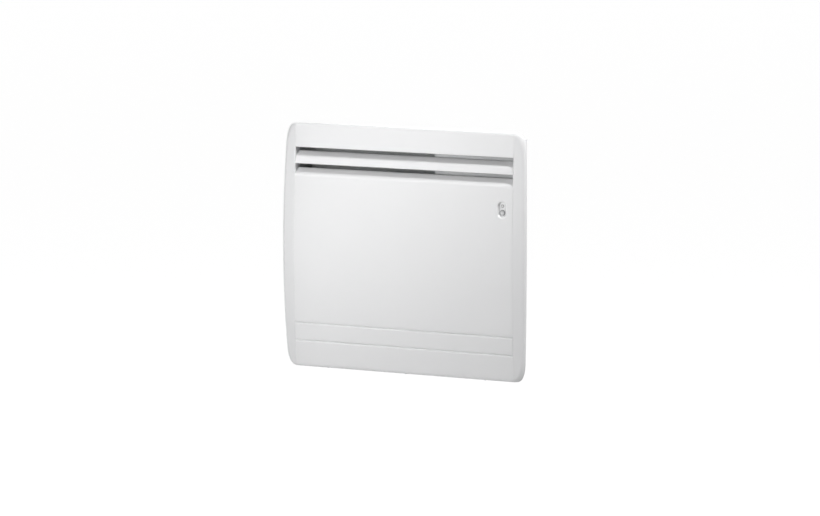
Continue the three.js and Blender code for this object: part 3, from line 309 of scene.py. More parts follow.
# %% [markdown]
# ### Powder coat and mouldings
# The white steel is powder coated: nearly matt, with a shallow orange peel and slow drifts in
# its tone and gloss. The caps are moulded in a slightly greyer white with a fine spark-eroded
# texture, and the dish in a glossier one, because its wall has to catch the light.
#
# The casing is coated on its outer faces only, with primer inside it. Its inner faces are dark
# partly as primer and partly as painted shade, for the dark that shows through the slots. One
# finish can tell the two apart by place: a face is an inner one where it lies further in than
# half the sheet's thickness.

# %% White finishes
PEEL = 620                                     # lumps of orange peel in a metre
PEEL_STRENGTH, PEEL_DEPTH = 0.09, 0.0004       # the depth is in metres
CASE_SIDE, CASE_BACK = 0.2738, 0.020           # outside of the casing, in metres: half width, depth
CASE_LOW, CASE_TOP = -0.262, 0.266             # and the levels of its bottom and top


def powder_coat(name, light, dark, roughness=0.42):
    """White coat: the colour follows a slow noise and the roughness a faster one."""
    coat = Finish(name)
    gloss = coat.noise(45, 4)
    tone = coat.colours(coat.noise(9, 3), light, dark)
    coat.set(Base_Color=tone, Roughness=roughness - 0.05 + 0.1 * gloss)
    return coat.bump(coat.noise(PEEL), PEEL_STRENGTH, PEEL_DEPTH).material


def coat_with_painted_shade_inside(name, outside, inside, roughness=0.47):
    """Coat outside; inside, where each distance to the box is over half a sheet, a rougher dark primer that
    is also painted shade.
    """
    coat = Finish(name)
    x, y, z = (coat.node("ShaderNodeSeparateXYZ", {"Vector": coat.place}, output=axis) for axis in range(3))
    margins = (x + CASE_SIDE, CASE_SIDE - x, -CASE_BACK - y, z - CASE_LOW, CASE_TOP - z)
    # mask of the inner faces, whose dark colour is partly primer and partly painted shade
    primer_and_shade_mask = 1.0
    for margin in margins:
        primer_and_shade_mask = (margin > SHEET / 2000) * primer_and_shade_mask
    drift = coat.noise(9, 3)
    inputs = {0: 0.04 * drift, 6: coat.colours(primer_and_shade_mask, outside, inside), 7: (0, 0, 0, 1)}
    shade = coat.node("ShaderNodeMix", inputs, output=2, data_type="RGBA")
    coat.set(Base_Color=shade, Roughness=roughness + 0.06 * drift + 0.12 * primer_and_shade_mask)
    return coat.bump(coat.noise(PEEL), PEEL_STRENGTH, PEEL_DEPTH).material


def moulded(name, light, dark, roughness=0.45, grain=0.12):
    """Moulded plastic: slow noise in its colour and gloss, and the fine grain of the mould as a bump."""
    plastic = Finish(name)
    gloss = roughness + 0.08 * (plastic.noise(70, 3) - 0.5)
    plastic.set(Base_Color=plastic.colours(plastic.noise(14, 3), light, dark), Roughness=gloss)
    return plastic.bump(plastic.noise(1900, 3, 0.7), grain, 0.0002).material


front_paint = powder_coat("front_powder_coat", (0.855, 0.857, 0.862), (0.835, 0.837, 0.843))
# the dark inner colour is partly primer and partly painted shade for the inside of the casing
casing_coat_and_shade = coat_with_painted_shade_inside("casing_coat_and_painted_shade", (0.76, 0.762, 0.77), (0.52, 0.525, 0.53))
cap_white = moulded("cap_white_moulding", (0.825, 0.827, 0.833), (0.81, 0.812, 0.819), 0.32, 0.05)
dish_white = moulded("dish_white_moulding", (0.90, 0.901, 0.905), (0.885, 0.886, 0.891), 0.24, 0.02)
inner_white = moulded("inner_white_moulding", (0.72, 0.72, 0.71), (0.69, 0.69, 0.68), 0.5)
button_grey = moulded("button_grey_moulding", (0.42, 0.423, 0.43), (0.39, 0.393, 0.40), 0.4, 0.05)
button_pale = moulded("button_pale_moulding", (0.66, 0.662, 0.67), (0.63, 0.632, 0.64), 0.4, 0.05)
control_grey = moulded("control_grey_moulding", (0.30, 0.305, 0.315), (0.27, 0.275, 0.285), 0.45)
black_plastic = moulded("black_moulding", (0.022, 0.022, 0.024), (0.032, 0.032, 0.034), 0.48)
transformer_grey = moulded("transformer_grey", (0.16, 0.16, 0.17), (0.12, 0.12, 0.13), 0.5)
print(len(bpy.data.materials), "painted and moulded finishes")

# %% [markdown]
# ### Bare metals
# Galvanised sheet shows flat crystals that each reflect a little differently, which is a
# Voronoi pattern on both colour and roughness. Passivated sheet is duller, and sheet that has
# been hot is darker. An extrusion has long streaks along its length, and a screw has fine marks
# of the tool.

# %% Metals, ceramic, boards and leads
def galvanised(name, light, dark, metallic=0.85, roughness=0.38):
    """Zinc crystals: every Voronoi cell has one random value, which sets its tone and its gloss."""
    zinc = Finish(name, Metallic=metallic)
    crystals = zinc.node("ShaderNodeTexVoronoi", {"Vector": zinc.place, "Scale": 130.0}, output="Color")
    flake = zinc.node("ShaderNodeSeparateColor", {"Color": crystals})
    zinc.set(Base_Color=zinc.colours(flake, light, dark), Roughness=roughness - 0.06 + 0.16 * flake)
    return zinc.bump(zinc.noise(300, 3), 0.06, 0.0003).material


def streaked(name, light, dark, stretch, roughness=0.32):
    """Drawn or turned metal: noise on stretched coordinates, in colour, roughness and height."""
    metal = Finish(name, Metallic=0.95)
    lines = metal.noise(60, 3, 0.6, metal.stretched(*stretch))
    metal.set(Base_Color=metal.colours(lines, light, dark), Roughness=roughness - 0.08 + 0.2 * lines)
    return metal.bump(lines, 0.12, 0.0001).material


zinc_sheet = galvanised("galvanised_sheet", (0.50, 0.52, 0.54), (0.62, 0.64, 0.66))
dull_zinc = galvanised("passivated_sheet", (0.42, 0.425, 0.43), (0.47, 0.475, 0.48), 0.3, 0.6)
tinted_zinc = galvanised("heat_tinted_sheet", (0.15, 0.145, 0.14), (0.19, 0.185, 0.18), 0.4, 0.6)
fin_aluminium = streaked("extruded_aluminium", (0.78, 0.79, 0.80), (0.66, 0.67, 0.69), (0.4, 18, 18))
screw_steel = streaked("bright_screw_steel", (0.66, 0.67, 0.68), (0.56, 0.57, 0.58), (20, 20, 20), 0.28)


def speckled(name, light, dark, roughness, scale=900, grain=0.2):
    """Fired or cast stuff: one fine noise for colour, roughness and grain."""
    body = Finish(name)
    specks = body.noise(scale, 4, 0.65)
    body.set(Base_Color=body.colours(specks, light, dark), Roughness=roughness - 0.06 + 0.12 * specks)
    return body.bump(specks, grain, 0.0002).material


ceramic = speckled("steatite_ceramic", (0.80, 0.74, 0.63), (0.70, 0.64, 0.53), 0.62)
red_silicone = speckled("red_silicone", (0.42, 0.07, 0.05), (0.34, 0.05, 0.04), 0.5, 400, 0.05)
blue_silicone = speckled("blue_silicone", (0.06, 0.12, 0.38), (0.05, 0.09, 0.30), 0.5, 400, 0.05)


def circuit_board(name):
    """Green lacquer with lighter copper tracks: bands of a stretched noise, cut at one level."""
    board = Finish(name)
    tracks = board.noise(90, 0, 0.5, board.stretched(1, 1, 0.25)) > 0.56
    board.set(Base_Color=board.colours(tracks, (0.02, 0.13, 0.06), (0.05, 0.24, 0.11)),
              Roughness=0.45 - 0.1 * tracks)
    return board.bump(tracks, 0.3, 0.00005).material


board_green = circuit_board("circuit_board")
lens_white = moulded("frosted_lens", (0.90, 0.90, 0.89), (0.86, 0.86, 0.85), 0.2, 0.02)
# the collar's grey is painted shade for the shadowed ring around the lamp's lens
collar_painted_shade = moulded("collar_grey_painted_shade", (0.46, 0.46, 0.47), (0.42, 0.42, 0.43), 0.3, 0.02)
print(len(bpy.data.materials), "finishes")

# %% [markdown]
# ## The pressed front
# One steel sheet is cut and bent so that it leaves three strips across: the top strip with a
# folded lip, the leaning louvre blade, and the main panel. Blade and panel curl backwards at
# their tops, which guides the warm air out and hides the inside. The photograph shows one even
# grey band on each curl, so the middle of a curl is straight between two bends. Slots cut out of
# a block would have square edges. A profile gives each fold its own radius, which catches a thin
# line of light, so each strip is its profile carried along x.

# %% Profiles of the front
LIP, BLADE, CURL = 231.8, 193.4, 163.5         # levels of the lip, the blade's edge, the panel's curl
BLADE_LEAN, BLADE_FACE = 12.0, 12.8            # angle at which the blade leans back, and its height
FOLD, FOLDED_BACK = 1.3, 4.0                   # radius of the lips, and how far they are folded back
HOOK, HOOK_RADIUS = 6.0, 1.6                   # the flange that hangs down behind the top
GROOVES = (-182.5, -224.4)                     # levels of the two pressed grooves
GROOVE_DEPTH, GROOVE_HALF = 2.3, 2.6           # their depth and half width
DISH_X, DISH_Z = 248.6, 112.4                  # centre of the dish
DISH_HALF_WIDTH, DISH_HALF_LENGTH = 12.7, 20.5
DISH_GAP = 0.25                                # between the dish and the edge of its hole
PATCH_WIDE, PATCH_TALL = 19, 27                # half sizes of the block of cells around the dish


def groove(z):
    """Sink of the pressed grooves: their depth * cos^2 over their width, and nothing elsewhere."""
    swing = [np.clip((z - level) / GROOVE_HALF, -1, 1) * np.pi / 2 for level in GROOVES]
    return sum(GROOVE_DEPTH * np.cos(angle) ** 2 for angle in swing)


def curl_back(foot, tilt, reach=20.0, near=9.0, far=6.0):
    """A bend of radius `near`, a straight slope and a bend of radius `far`, up to level.

    The two ends are those of one arc of radius `reach`; a few rounds find the slope between them."""
    t = math.radians(tilt)
    end = reach * np.array([-math.cos(t), 1 - math.sin(t)])
    slope = math.radians(50)
    for _ in range(30):
        first = near * np.array([math.cos(slope) - math.cos(t), math.sin(slope) - math.sin(t)])
        last = far * np.array([-math.cos(slope), 1 - math.sin(slope)])
        run = end - first - last
        slope = math.atan2(-run[0], run[1])
    centre = np.array(foot) - near * np.array([math.cos(t), math.sin(t)])
    lower = turn(centre, near, tilt, math.degrees(slope), 10)
    centre = lower[-1] + run - far * np.array([math.cos(slope), math.sin(slope)])
    upper = turn(centre, far, math.degrees(slope), 90, 7)
    return np.concatenate([lower, upper, upper[-1:] - [1, 0]])


bend = edge_bend()
low_bend = bend[::-1] * [1, -1]
patch_z = DISH_Z + np.linspace(-PATCH_TALL, PATCH_TALL, 19)
fine = [level + np.linspace(-GROOVE_HALF, GROOVE_HALF, 19) for level in GROOVES]
below = np.unique(np.concatenate([np.linspace(low_bend[-1, 1], patch_z[0], 60), *fine]))
arch_below = np.stack([front_depth(below) - groove(below), below], 1)
arch_patch = np.stack([front_depth(patch_z), patch_z], 1)
above = np.linspace(patch_z[-1], CURL, 8)
arch_above = np.stack([front_depth(above), above], 1)
top_z = np.linspace(LIP + FOLDED_BACK, bend[0, 1], 14)
arch_top = np.stack([front_depth(top_z), top_z], 1)

bottom = np.concatenate([[[BACK, -HALF]], low_bend[:-1], arch_below])
panel_top = np.concatenate([arch_above[:-1], curl_back([front_depth(CURL), CURL], front_tilt(CURL))])
lip = folded([[front_depth(LIP) - FOLDED_BACK, LIP], [front_depth(LIP), LIP], arch_top[0]], FOLD)
hook = folded([[BACK + HOOK, HALF], [BACK, HALF], [BACK, HALF - HOOK]], HOOK_RADIUS)
top_strip = np.concatenate([lip[:-1], arch_top[:-1], bend, hook[1:]])
edge = np.array([front_depth(BLADE), BLADE])
face_top = edge + [-BLADE_FACE * math.tan(math.radians(BLADE_LEAN)), BLADE_FACE]
blade = np.concatenate(
    [folded([edge - [FOLDED_BACK, 0], edge, face_top], FOLD)[:-1], curl_back(face_top, BLADE_LEAN)])
print("profiles:", len(bottom) + len(arch_patch) + len(panel_top), len(blade), len(top_strip), "points")

# %% [markdown]
# ### A hole in a grid
# The dish sits in a hole with round ends. A grid of straight rows has no such hole, so a block
# of its cells is left out, and a ring of cells joins the block's edge to the hole: every point
# of the edge goes straight towards the hole's centre until it meets the round-ended outline.

# %% Ring around the dish's hole
def stadium_reach(angle, half_width, half_length):
    """Distance from the centre to a round-ended slot: to its straight side, or else to its end circle."""
    s, c, rise = half_length - half_width, np.abs(np.cos(angle)), np.abs(np.sin(angle))
    side = half_width / np.maximum(c, 1e-9)
    end = s * rise + np.sqrt(np.maximum(half_width**2 - (s * c) ** 2, 0))
    return np.where(side * rise <= s, side, end)


patch_x = DISH_X + np.linspace(-PATCH_WIDE, PATCH_WIDE, 13)
x0, x1, z0, z1 = patch_x[0], patch_x[-1], patch_z[0], patch_z[-1]
wide, tall = len(patch_x), len(patch_z)
frame_x = np.concatenate([patch_x, np.full(tall - 1, x1), patch_x[-2::-1], np.full(tall - 1, x0)])
frame_z = np.concatenate([np.full(wide, z0), patch_z[1:], np.full(wide - 1, z1), patch_z[-2::-1]])
spoke = np.arctan2(frame_z - DISH_Z, frame_x - DISH_X)
reach = stadium_reach(spoke, DISH_HALF_WIDTH + DISH_GAP, DISH_HALF_LENGTH + DISH_GAP)
share = (np.linspace(0, 1, 7) ** 0.8)[None, :]
ring_x = frame_x[:, None] * (1 - share) + (DISH_X + reach * np.cos(spoke))[:, None] * share
ring_z = frame_z[:, None] * (1 - share) + (DISH_Z + reach * np.sin(spoke))[:, None] * share
dish_ring = at(ring_x, front_depth(ring_z), ring_z)
print("the ring has", dish_ring.shape[0], "spokes of", dish_ring.shape[1], "points")

# %% [markdown]
# ### The sides of the front
# The sheet turns back at both sides with a small radius, and the caps are screwed to tabs there.
# A rounded edge is the outline moved inwards by r (1 - cos a) while x grows by r sin a. The block
# of cells around the dish's hole splits the panel into a part at its left and one at its right.

# %% Front piece
EDGE = 0.5                                     # radius of the front's side edges
TAB_END, TAB_HALF, TAB_CORNER = SIDE + 17, 9, 3    # of a tab: its end, half height and corner radius

across = np.concatenate([np.linspace(-(SIDE - EDGE), x0, 9)[:-1], patch_x, [SIDE - EDGE]])
left_of, right_of = across[:9], across[-2:]


def tab(level):
    """A flat tab for a cap's screw; its two outer corners are quarter circles."""
    curve = TAB_END + TAB_CORNER * np.sin(np.radians([20, 40, 60, 78, 88]))
    x = np.concatenate([[SIDE - SHEET, TAB_END], curve])
    half = TAB_HALF - TAB_CORNER + np.sqrt(TAB_CORNER**2 - np.maximum(x - TAB_END, 0) ** 2)
    return at(x[:, None], BACK, level + half[:, None] * np.linspace(1, -1, 5)[None])


def side_return(side):
    """Rounded edge, flat side and tabs, for the right (1) or the left (-1) side."""
    between = np.linspace(CURL, LIP + FOLDED_BACK, 14)[1:-1]
    across_slots = np.stack([front_depth(between), between], 1)
    outline = np.concatenate(
        [bottom, arch_patch[1:], arch_above[1:], across_slots, arch_top, bend[1:], [[BACK, HALF]]])
    run = np.gradient(outline, axis=0)
    run /= np.linalg.norm(run, axis=1, keepdims=True)
    out = np.stack([run[:, 1], -run[:, 0]], 1)
    out[0], out[-1] = (0, -1), (0, 1)
    a = np.radians(np.linspace(0, 90, 7))[:, None]
    x = SIDE - EDGE + EDGE * np.sin(a) + 0 * outline[None, :, 0]
    moved = outline[None] - out[None] * (EDGE * (1 - np.cos(a)))[..., None]
    rounded = at(x, moved[..., 0], moved[..., 1])
    inner = moved[-1, 1:-1]
    back = np.linspace(0, 1, 4)[:, None]
    flat = at(SIDE + 0 * back, inner[None, :, 0] * (1 - back) + BACK * back, inner[None, :, 1])
    grids = [rounded, flat, *(tab(level) for level in SCREW_LEVELS)]
    return grids if side > 0 else [grid[::-1] * [-1, 1, 1] for grid in grids]


front_grids = [
    swept(bottom, across), swept(arch_patch, left_of), swept(arch_patch, right_of),
    swept(panel_top, across), dish_ring, swept(blade, across), swept(top_strip, across),
    *side_return(1), *side_return(-1),
]
piece("front_shell", front_grids, "heater", front_paint, SHEET, ["front_panel"])

# %% [markdown]
# ## The end caps
# A cap is one moulded shell. Its face falls back a little from the steel, its rim turns over with
# a radius that grows from 6.5 mm at the side to 8.5 mm at the top, and its outline bows in
# towards rounded corners. The corner is a superellipse, x = cos^(2/n), z = sin^(2/n), whose
# power n rises from 2 on the face to 2.9 behind the rim, so the corner gets squarer as it turns.
# It could be a box with bevels, but then the corner would stay the same all the way round.

# %% Skin of a cap
CAP_X, CAP_WIDTH = 275.45, 32.55               # the cap's inner side, and its width in the middle
CORNER = 55                                    # height of its rounded corners
CORNER_Z = HALF - CORNER
BOW, BOW_LOSS, SQUARER = 6.3, 1.8, 0.9         # bow of the outline, its loss and n's growth behind the rim
RIM, RIM_TOP, ROLL = 6.5, 8.5, 4.5             # radii of the rim, at the side and top, and of its roll
TILT = 3.4                                     # how far the face falls back towards its side
INNER_EDGE = 0.4                               # radius of the edge beside the steel
WALL_DEPTHS = (12.7, 8.0, 3.0)                 # rows of the inner wall, measured back from the face


def cap_row(turned, rolled=0.0):
    """One line of the skin from top to bottom: `turned` goes 90 to 0 over the rim, then it rolls in.

    It has 18 points on each corner and 44 between them."""
    flat, drop = 1 - math.cos(math.radians(turned)), 1 - math.sin(math.radians(turned))
    power = 2 + SQUARER * drop
    bow = BOW - BOW_LOSS * drop
    a = np.radians(np.linspace(90, 0, 19)[:-1])
    corner = np.cos(a) ** (2 / power)
    share = np.concatenate([corner, np.ones(44), corner[::-1]])
    radius = RIM_TOP + (RIM - RIM_TOP) * share
    inset = radius * flat + ROLL * (1 - math.cos(math.radians(rolled)))
    lift = CORNER_Z + (CORNER - inset[0]) * np.sin(a) ** (2 / power)
    z = np.concatenate([lift, CORNER_Z * np.linspace(1, -1, 44), -lift[::-1]])
    outer = CAP_X + CAP_WIDTH - bow * (z / CORNER_Z) ** 2 - inset
    back = radius * drop + TILT * share * (1 - 0.2 * flat) + ROLL * math.sin(math.radians(rolled))
    return at(CAP_X + (outer - CAP_X) * share, front_depth(z) - back, z)


def cap_grids():
    """Inner wall, rounded inner edge, face, rim and roll, as rows of one grid; then the wall's two ends."""
    rim = [cap_row(turned) for turned in np.linspace(90, 0, 13)] + [cap_row(0, r) for r in (18, 36, 54, 70)]
    first = rim[0]
    width = first[:, 0] - CAP_X
    small = np.minimum(INNER_EDGE, width * 0.5)
    depth = front_depth(first[:, 2])
    rows = [at(CAP_X, depth - back, first[:, 2]) for back in WALL_DEPTHS]
    for q in np.radians([90, 67.5, 45, 22.5, 0]):
        rows.append(at(CAP_X + small * (1 - np.sin(q)), depth - small * (1 - np.cos(q)), first[:, 2]))
    for s in np.linspace(0, 1, 9)[1:-1]:
        rows.append(at(CAP_X + small + (width - small) * s, depth * (1 - s) + first[:, 1] * s, first[:, 2]))
    skin = np.array(rows + rim)[:, ::-1]
    ends = []
    for pick, order in ((0, 1), (-1, -1)):
        top = np.array([row[pick] for row in rim])
        foot = top.copy()
        foot[:, 2] = first[pick, 2]
        ends.append(np.array([foot, top])[:, ::order])
    return [skin, *ends]


def mirrored(grids):
    """The same surface on the other side; its columns are reversed, so that it still faces outwards."""
    return [grid[:, ::-1] * [-1, 1, 1] for grid in grids]


print("a cap's skin has", cap_grids()[0].shape[:2], "points")

# %% [markdown]
# ### Posts and ribs inside the cap
# From behind, a cap shows what every screwed moulding has: three posts for the screws and two
# ribs that keep the shell from folding. A post is a profile turned about its own axis, which
# gives it its draft, its chamfer and the screw's hole at once. A rib is three flat sides.

# %% Posts, ribs and both caps
CAP_WALL = 2.3                                 # thickness of the moulding
POST_X, POST, HOLE = 286.0, 4.5, 1.3           # axis of the posts, and radii of a post and its hole
POST_END, HOLE_END = 81.5, 89.5                # depths of the post's end and of the hole's bottom
RIB_LEVELS, RIB_HALF = (100, -100), 1.0        # levels of the ribs, and half their thickness
RIB_FRONT, RIB_BACK = 2.4, 8.4                 # their front and back, measured back from the face


def turned_about(profile, centre, segments=32):
    """Turns (radius, depth) about an axis that runs in the depth direction through centre (x, z)."""
    profile = np.asarray(profile, float)
    a = np.linspace(0, 2 * np.pi, segments + 1)
    a[-1] = 0
    radius, depth = profile[None, :, 0], profile[None, :, 1]
    return at(centre[0] + radius * np.cos(a)[:, None], depth, centre[1] + radius * np.sin(a)[:, None])


def cap_inside():
    """The posts, from the hole's end over their foot to the skin, and the ribs, each with three sides."""
    grids = []
    for level in SCREW_LEVELS:
        skin = float(front_depth(level)) - 2.6
        hole = [[0, HOLE_END], [HOLE, HOLE_END], [HOLE, POST_END + 0.5], [HOLE + 0.4, POST_END]]
        outside = [[POST - 0.3, POST_END], [POST, POST_END + 0.4], [POST + 0.3, skin], [0, skin]]
        grids.append(turned_about(hole + outside, (POST_X, level)))
    x = np.array([278.0, 279, 291, 302.5])
    for level in RIB_LEVELS:
        depth = float(front_depth(level))
        across_depth = depth - np.array([RIB_BACK, RIB_FRONT])
        for side in (-1, 1):
            flank = at(x[:, None], across_depth[None], level + side * RIB_HALF)
            grids.append(flank[:, ::-side])
        edge_z = level + RIB_HALF * np.array([1.0, -1.0])
        grids.append(at(x[:, None], depth - RIB_BACK, edge_z[None]))
    return grids


def cap(name, skin, inside):
    """Makes one cap of its skin and of what stands inside it."""
    piece(f"end_cap_skin_{name}", skin, "heater", cap_white, CAP_WALL, [f"end_cap_{name}"])
    piece(f"end_cap_posts_{name}", inside, "heater", cap_white)


cap("right", cap_grids(), cap_inside())
cap("left", mirrored(cap_grids()), mirrored(cap_inside()))

# %% [markdown]
# ## The control dish
# The dish is a small moulding with round ends, let into the front and tilted with the arch. Its
# wall slopes down at about 50 degrees to a flat floor, with a small radius at the rim and at the
# foot. A rounder bowl would look softer. The upper wall faces down, away from the key lamp, so it
# stays darker than the floor, and that makes the dish read as a hollow. Everything in it is drawn
# square to the front: x across, `out` towards the room, `up` along it.

# %% Dish
TILTED = math.radians(front_tilt(DISH_Z))


def on_dish(x, out, up):
    """Point of the dish's own frame, turned by the arch's tilt about the dish's centre."""
    depth = front_depth(DISH_Z) + out * np.cos(TILTED) - up * np.sin(TILTED)
    return at(DISH_X + np.asarray(x, float), depth, DISH_Z + out * np.sin(TILTED) + up * np.cos(TILTED))


STRAIGHT = DISH_HALF_LENGTH - DISH_HALF_WIDTH  # half the straight part of its length
FLOOR, FLARE = -5.1, 5.2                       # floor below the front, and how far it lies inside the rim
FOOT_RADIUS = 0.9                              # of the bends at the top and the foot of the wall
BUTTON, LAMP, SPLIT = -7.2, 8.0, 0.8           # heights of button and lamp, and a line between them
BUTTON_HOLE, LAMP_HOLE = 6.9, 3.1              # radii of the holes that they sit in
UNDER_WALL = 0.15                              # the floor reaches this far under the wall's foot
DISH_WALL = 1.4                                # thickness of the moulding

around = np.radians(np.linspace(0, 180, 25))
ends = np.concatenate([around, around + np.pi, [2 * np.pi]])
lift = np.concatenate([np.full(25, STRAIGHT), np.full(25, -STRAIGHT), [STRAIGHT]])
rim = np.array([[0, -0.4], [0.05, -0.18], [0.18, -0.04], [0.4, 0], [0.7, -0.03]])
slope = np.array([[0.7, -0.03], [1.0, -0.1], [FLARE - 0.4, FLOOR], [FLARE, FLOOR]])
section = np.concatenate([rim[:-1], folded(slope, FOOT_RADIUS, 6)])
radius = DISH_HALF_WIDTH - section[None, :, 0]
bowl_up = lift[:, None] + np.sin(ends)[:, None] * radius
bowl = on_dish(np.cos(ends)[:, None] * radius, section[None, :, 1], bowl_up)


def floor_around(centre, hole, way):
    """Half of the floor around one hole: rays from the hole's centre to the wall or the split line."""
    half = DISH_HALF_WIDTH - FLARE + UNDER_WALL
    corner = math.atan2(SPLIT - centre, half)
    other = -way * math.pi - corner
    a = np.unique(np.concatenate([np.linspace(-np.pi, np.pi, 65), [corner, other]]))
    c, s = np.cos(a), np.sin(a)
    to_side = half / np.maximum(abs(c), 1e-9)
    to_split = np.where(s * way < -1e-6, (SPLIT - centre) / np.where(abs(s) < 1e-6, 1, s), 1e9)
    middle = way * STRAIGHT - centre
    to_end = middle * s + np.sqrt(np.maximum(half**2 - (middle * c) ** 2, 0))
    straight = (centre + to_side * s) * way <= STRAIGHT
    reach = np.minimum(np.where(straight, to_side, to_end), to_split)
    share = np.linspace(0, 1, 5)[None, :]
    r = reach[:, None] * (1 - share) + hole * share
    return on_dish(r * c[:, None], FLOOR, centre + r * s[:, None])


dish_grids = [bowl, floor_around(BUTTON, BUTTON_HOLE, -1), floor_around(LAMP, LAMP_HOLE, 1)]
piece("dish_bowl", dish_grids, "heater", dish_white, DISH_WALL, ["control_dish"])

# %% [markdown]
# ### Button and lamp
# The button is a grey ring with a paler, slightly hollow centre for the fingertip. The lamp's
# lens is a small dome that stands in a collar whose grey is painted shade, for the shadowed ring
# around the lens. Both are profiles turned about their axes, because a bevelled cylinder has no
# hollow centre.

# %% Button and lens
def turned_in_dish(profile, up, segments=48):
    """Turns (radius, out) about an axis square to the front, at height `up` in the dish."""
    profile = np.asarray(profile, float)
    a = np.linspace(0, 2 * np.pi, segments + 1)
    a[-1] = 0
    radius, out = profile[None, :, 0], profile[None, :, 1]
    return on_dish(radius * np.cos(a)[:, None], out, up + radius * np.sin(a)[:, None])


CROWN_OUT = FLOOR + 2.3                        # top of the button's ring
RING, SHOULDER, CENTRE = 6.6, 1.1, 4.1         # radii of the ring, of its edge and of the hollow in it
FLANGE_BACK, FLANGE_FRONT = -8.6, -7.3         # the button's flange, behind the dish's floor

stem = [[0, -19.0], [2.5, -19.0], [2.5, FLANGE_BACK], [7.9, FLANGE_BACK], [7.9, FLANGE_FRONT],
        [RING, FLANGE_FRONT], [RING, CROWN_OUT - SHOULDER]]
shoulder = turn((RING - SHOULDER, CROWN_OUT - SHOULDER), SHOULDER, 0, 90, 8)
inward = [[5.0, CROWN_OUT - 0.02], [4.5, CROWN_OUT - 0.15], [CENTRE, CROWN_OUT - 0.5]]
ring = np.concatenate([stem, shoulder[1:], inward])
r = np.linspace(CENTRE, 0, 12)
hollow = np.stack([r, CROWN_OUT - 0.5 - 0.35 * (1 - (r / CENTRE) ** 2)], 1)
piece("button_cap", [turned_in_dish(ring, BUTTON)], "button", button_grey, stands_for=["push_button"],
      sharp=50)
piece("button_centre", [turned_in_dish(hollow, BUTTON)], "button", button_pale)

DOME, DOME_HEIGHT, DOME_FOOT = 2.5, 1.9, FLOOR - 0.3    # the lens: radius, height, and where it starts
collar = [[2.9, -12.0], [2.9, DOME_FOOT], [4.0, DOME_FOOT], [4.0, FLOOR + 0.2], [3.9, FLOOR + 0.35],
          [3.7, FLOOR + 0.4], [3.0, FLOOR + 0.2], [DOME, DOME_FOOT]]
angle = np.radians(np.linspace(0, 90, 12))
dome = np.stack([DOME * np.cos(angle), DOME_FOOT + DOME_HEIGHT * np.sin(angle)], 1)
# grey collar: painted shade for the shadowed ring around the lens
piece("lamp_collar", [turned_in_dish(collar, LAMP, 36)], "heater", collar_painted_shade)
piece("lamp_dome", [turned_in_dish(dome, LAMP, 36)], "heater", lens_white,
      stands_for=["indicator_lens"])

# %% [markdown]
# ### The spring behind the button
# A coil of three turns brings the button back. It is wound from round wire between the button's
# flange and the small board, and it gets shorter by the button's travel while that is pressed.

# %% Return spring
SPRING_FRONT, SPRING_BACK = -8.92, -24.48      # the spring's two ends, measured like `out`
COIL_RADIUS, WIRE, TURNS = 4.0, 0.4, 3         # WIRE is the radius of the round wire


def coil(up, steps=36):
    """Tube round the helix radius * (cos t, sin t), whose `out` falls evenly with t from end to end."""
    t = np.linspace(0, 2 * np.pi * TURNS, steps * TURNS + 1)
    t = np.concatenate([t[:1], t, t[-1:]])[:, None]
    w = np.linspace(0, 2 * np.pi, 9)
    w[-1] = 0
    thick = np.full(t.shape, WIRE)
    thick[0], thick[-1] = 0, 0
    r = COIL_RADIUS + thick * np.cos(w)
    fall = (SPRING_BACK - SPRING_FRONT + 2 * WIRE) * t / t[-1]
    return on_dish(r * np.cos(t), SPRING_FRONT - WIRE + fall + thick * np.sin(w), up + r * np.sin(t))


spring = piece("return_spring", [coil(BUTTON)], "heater", screw_steel, stands_for=["button_spring"])
foot = on_dish(0, SPRING_BACK, BUTTON) * [1, -1, 1] / 1000
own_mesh(spring)

# %% [markdown]
# ## What shows from above, below and behind
# The casing, its bracket and the controls on top keep the shapes of the frame. Real folded
# sheet and real mouldings have no knife edges, so each gets a narrow bevel along its edges, and
# its finish. They could be worked out anew like the front, but a bevel is all that they lack.
# The corners of a frame node are welded first, because its triangles are loose. The leads and
# the boards only get a finish: a lead has no edges, and a board is sawn.

# %% Softened frame nodes
LOOSE = 2e-5                                   # corners closer than this, in metres, are welded
BEVELLED = math.radians(32)                    # edges that turn by more than this are bevelled


def soften(names, finish, width=0.3, segments=2):
    """Gives frame nodes a finish and, where a width is given, rounded edges of that width in mm."""
    for name in names:
        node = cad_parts[name]
        node.data.materials.clear()
        node.data.materials.append(finish)
        if width:
            weld = node.modifiers.new("weld", "WELD")
            weld.merge_threshold = LOOSE
            bevel = node.modifiers.new("edges", "BEVEL")
            bevel.width = width / 1000
            bevel.segments = segments
            bevel.limit_method, bevel.angle_limit = "ANGLE", BEVELLED
            bevel.use_clamp_overlap = bevel.harden_normals = True


def sides(name):
    """Names of a left and a right node."""
    return [f"{name}_left", f"{name}_right"]


cap_screws = [f"{name}_{n}" for name in sides("cap_screw") for n in (1, 2, 3)]
panel_screws = [f"panel_screw_{n}" for n in (1, 2, 3)]
soften(["rear_casing"], casing_coat_and_shade, 0.5)
soften(["wall_bracket", "intake_grille", "rear_heat_shield", "cutout_clip"], zinc_sheet)
soften(sides("element_support") + sides("lock_nut"), zinc_sheet)
soften(["compartment_shield"], dull_zinc)
soften(["front_baffle"], tinted_zinc)
soften(cap_screws + panel_screws + sides("lock_screw") + ["element_rod"], screw_steel, 0.2)
soften(["heating_element"], fin_aluminium, 0.3)
soften(["control_housing", "sensor_clip"] + sides("board_rail"), inner_white, 0.4)
soften(["thermostat_dial", "mode_slider"], control_grey, 0.3)
soften(["thermostat_body", "mode_switch", "thermal_cutout", "supply_gland", "power_relay", "button_switch",
        "temperature_sensor"], black_plastic, 0.3)
soften(["indicator_lead"], black_plastic, 0)
soften(["board_transformer"], transformer_grey)
soften(sides("element_bush") + ["terminal_block"], ceramic)
soften(["power_board", "indicator_board"], board_green, 0)
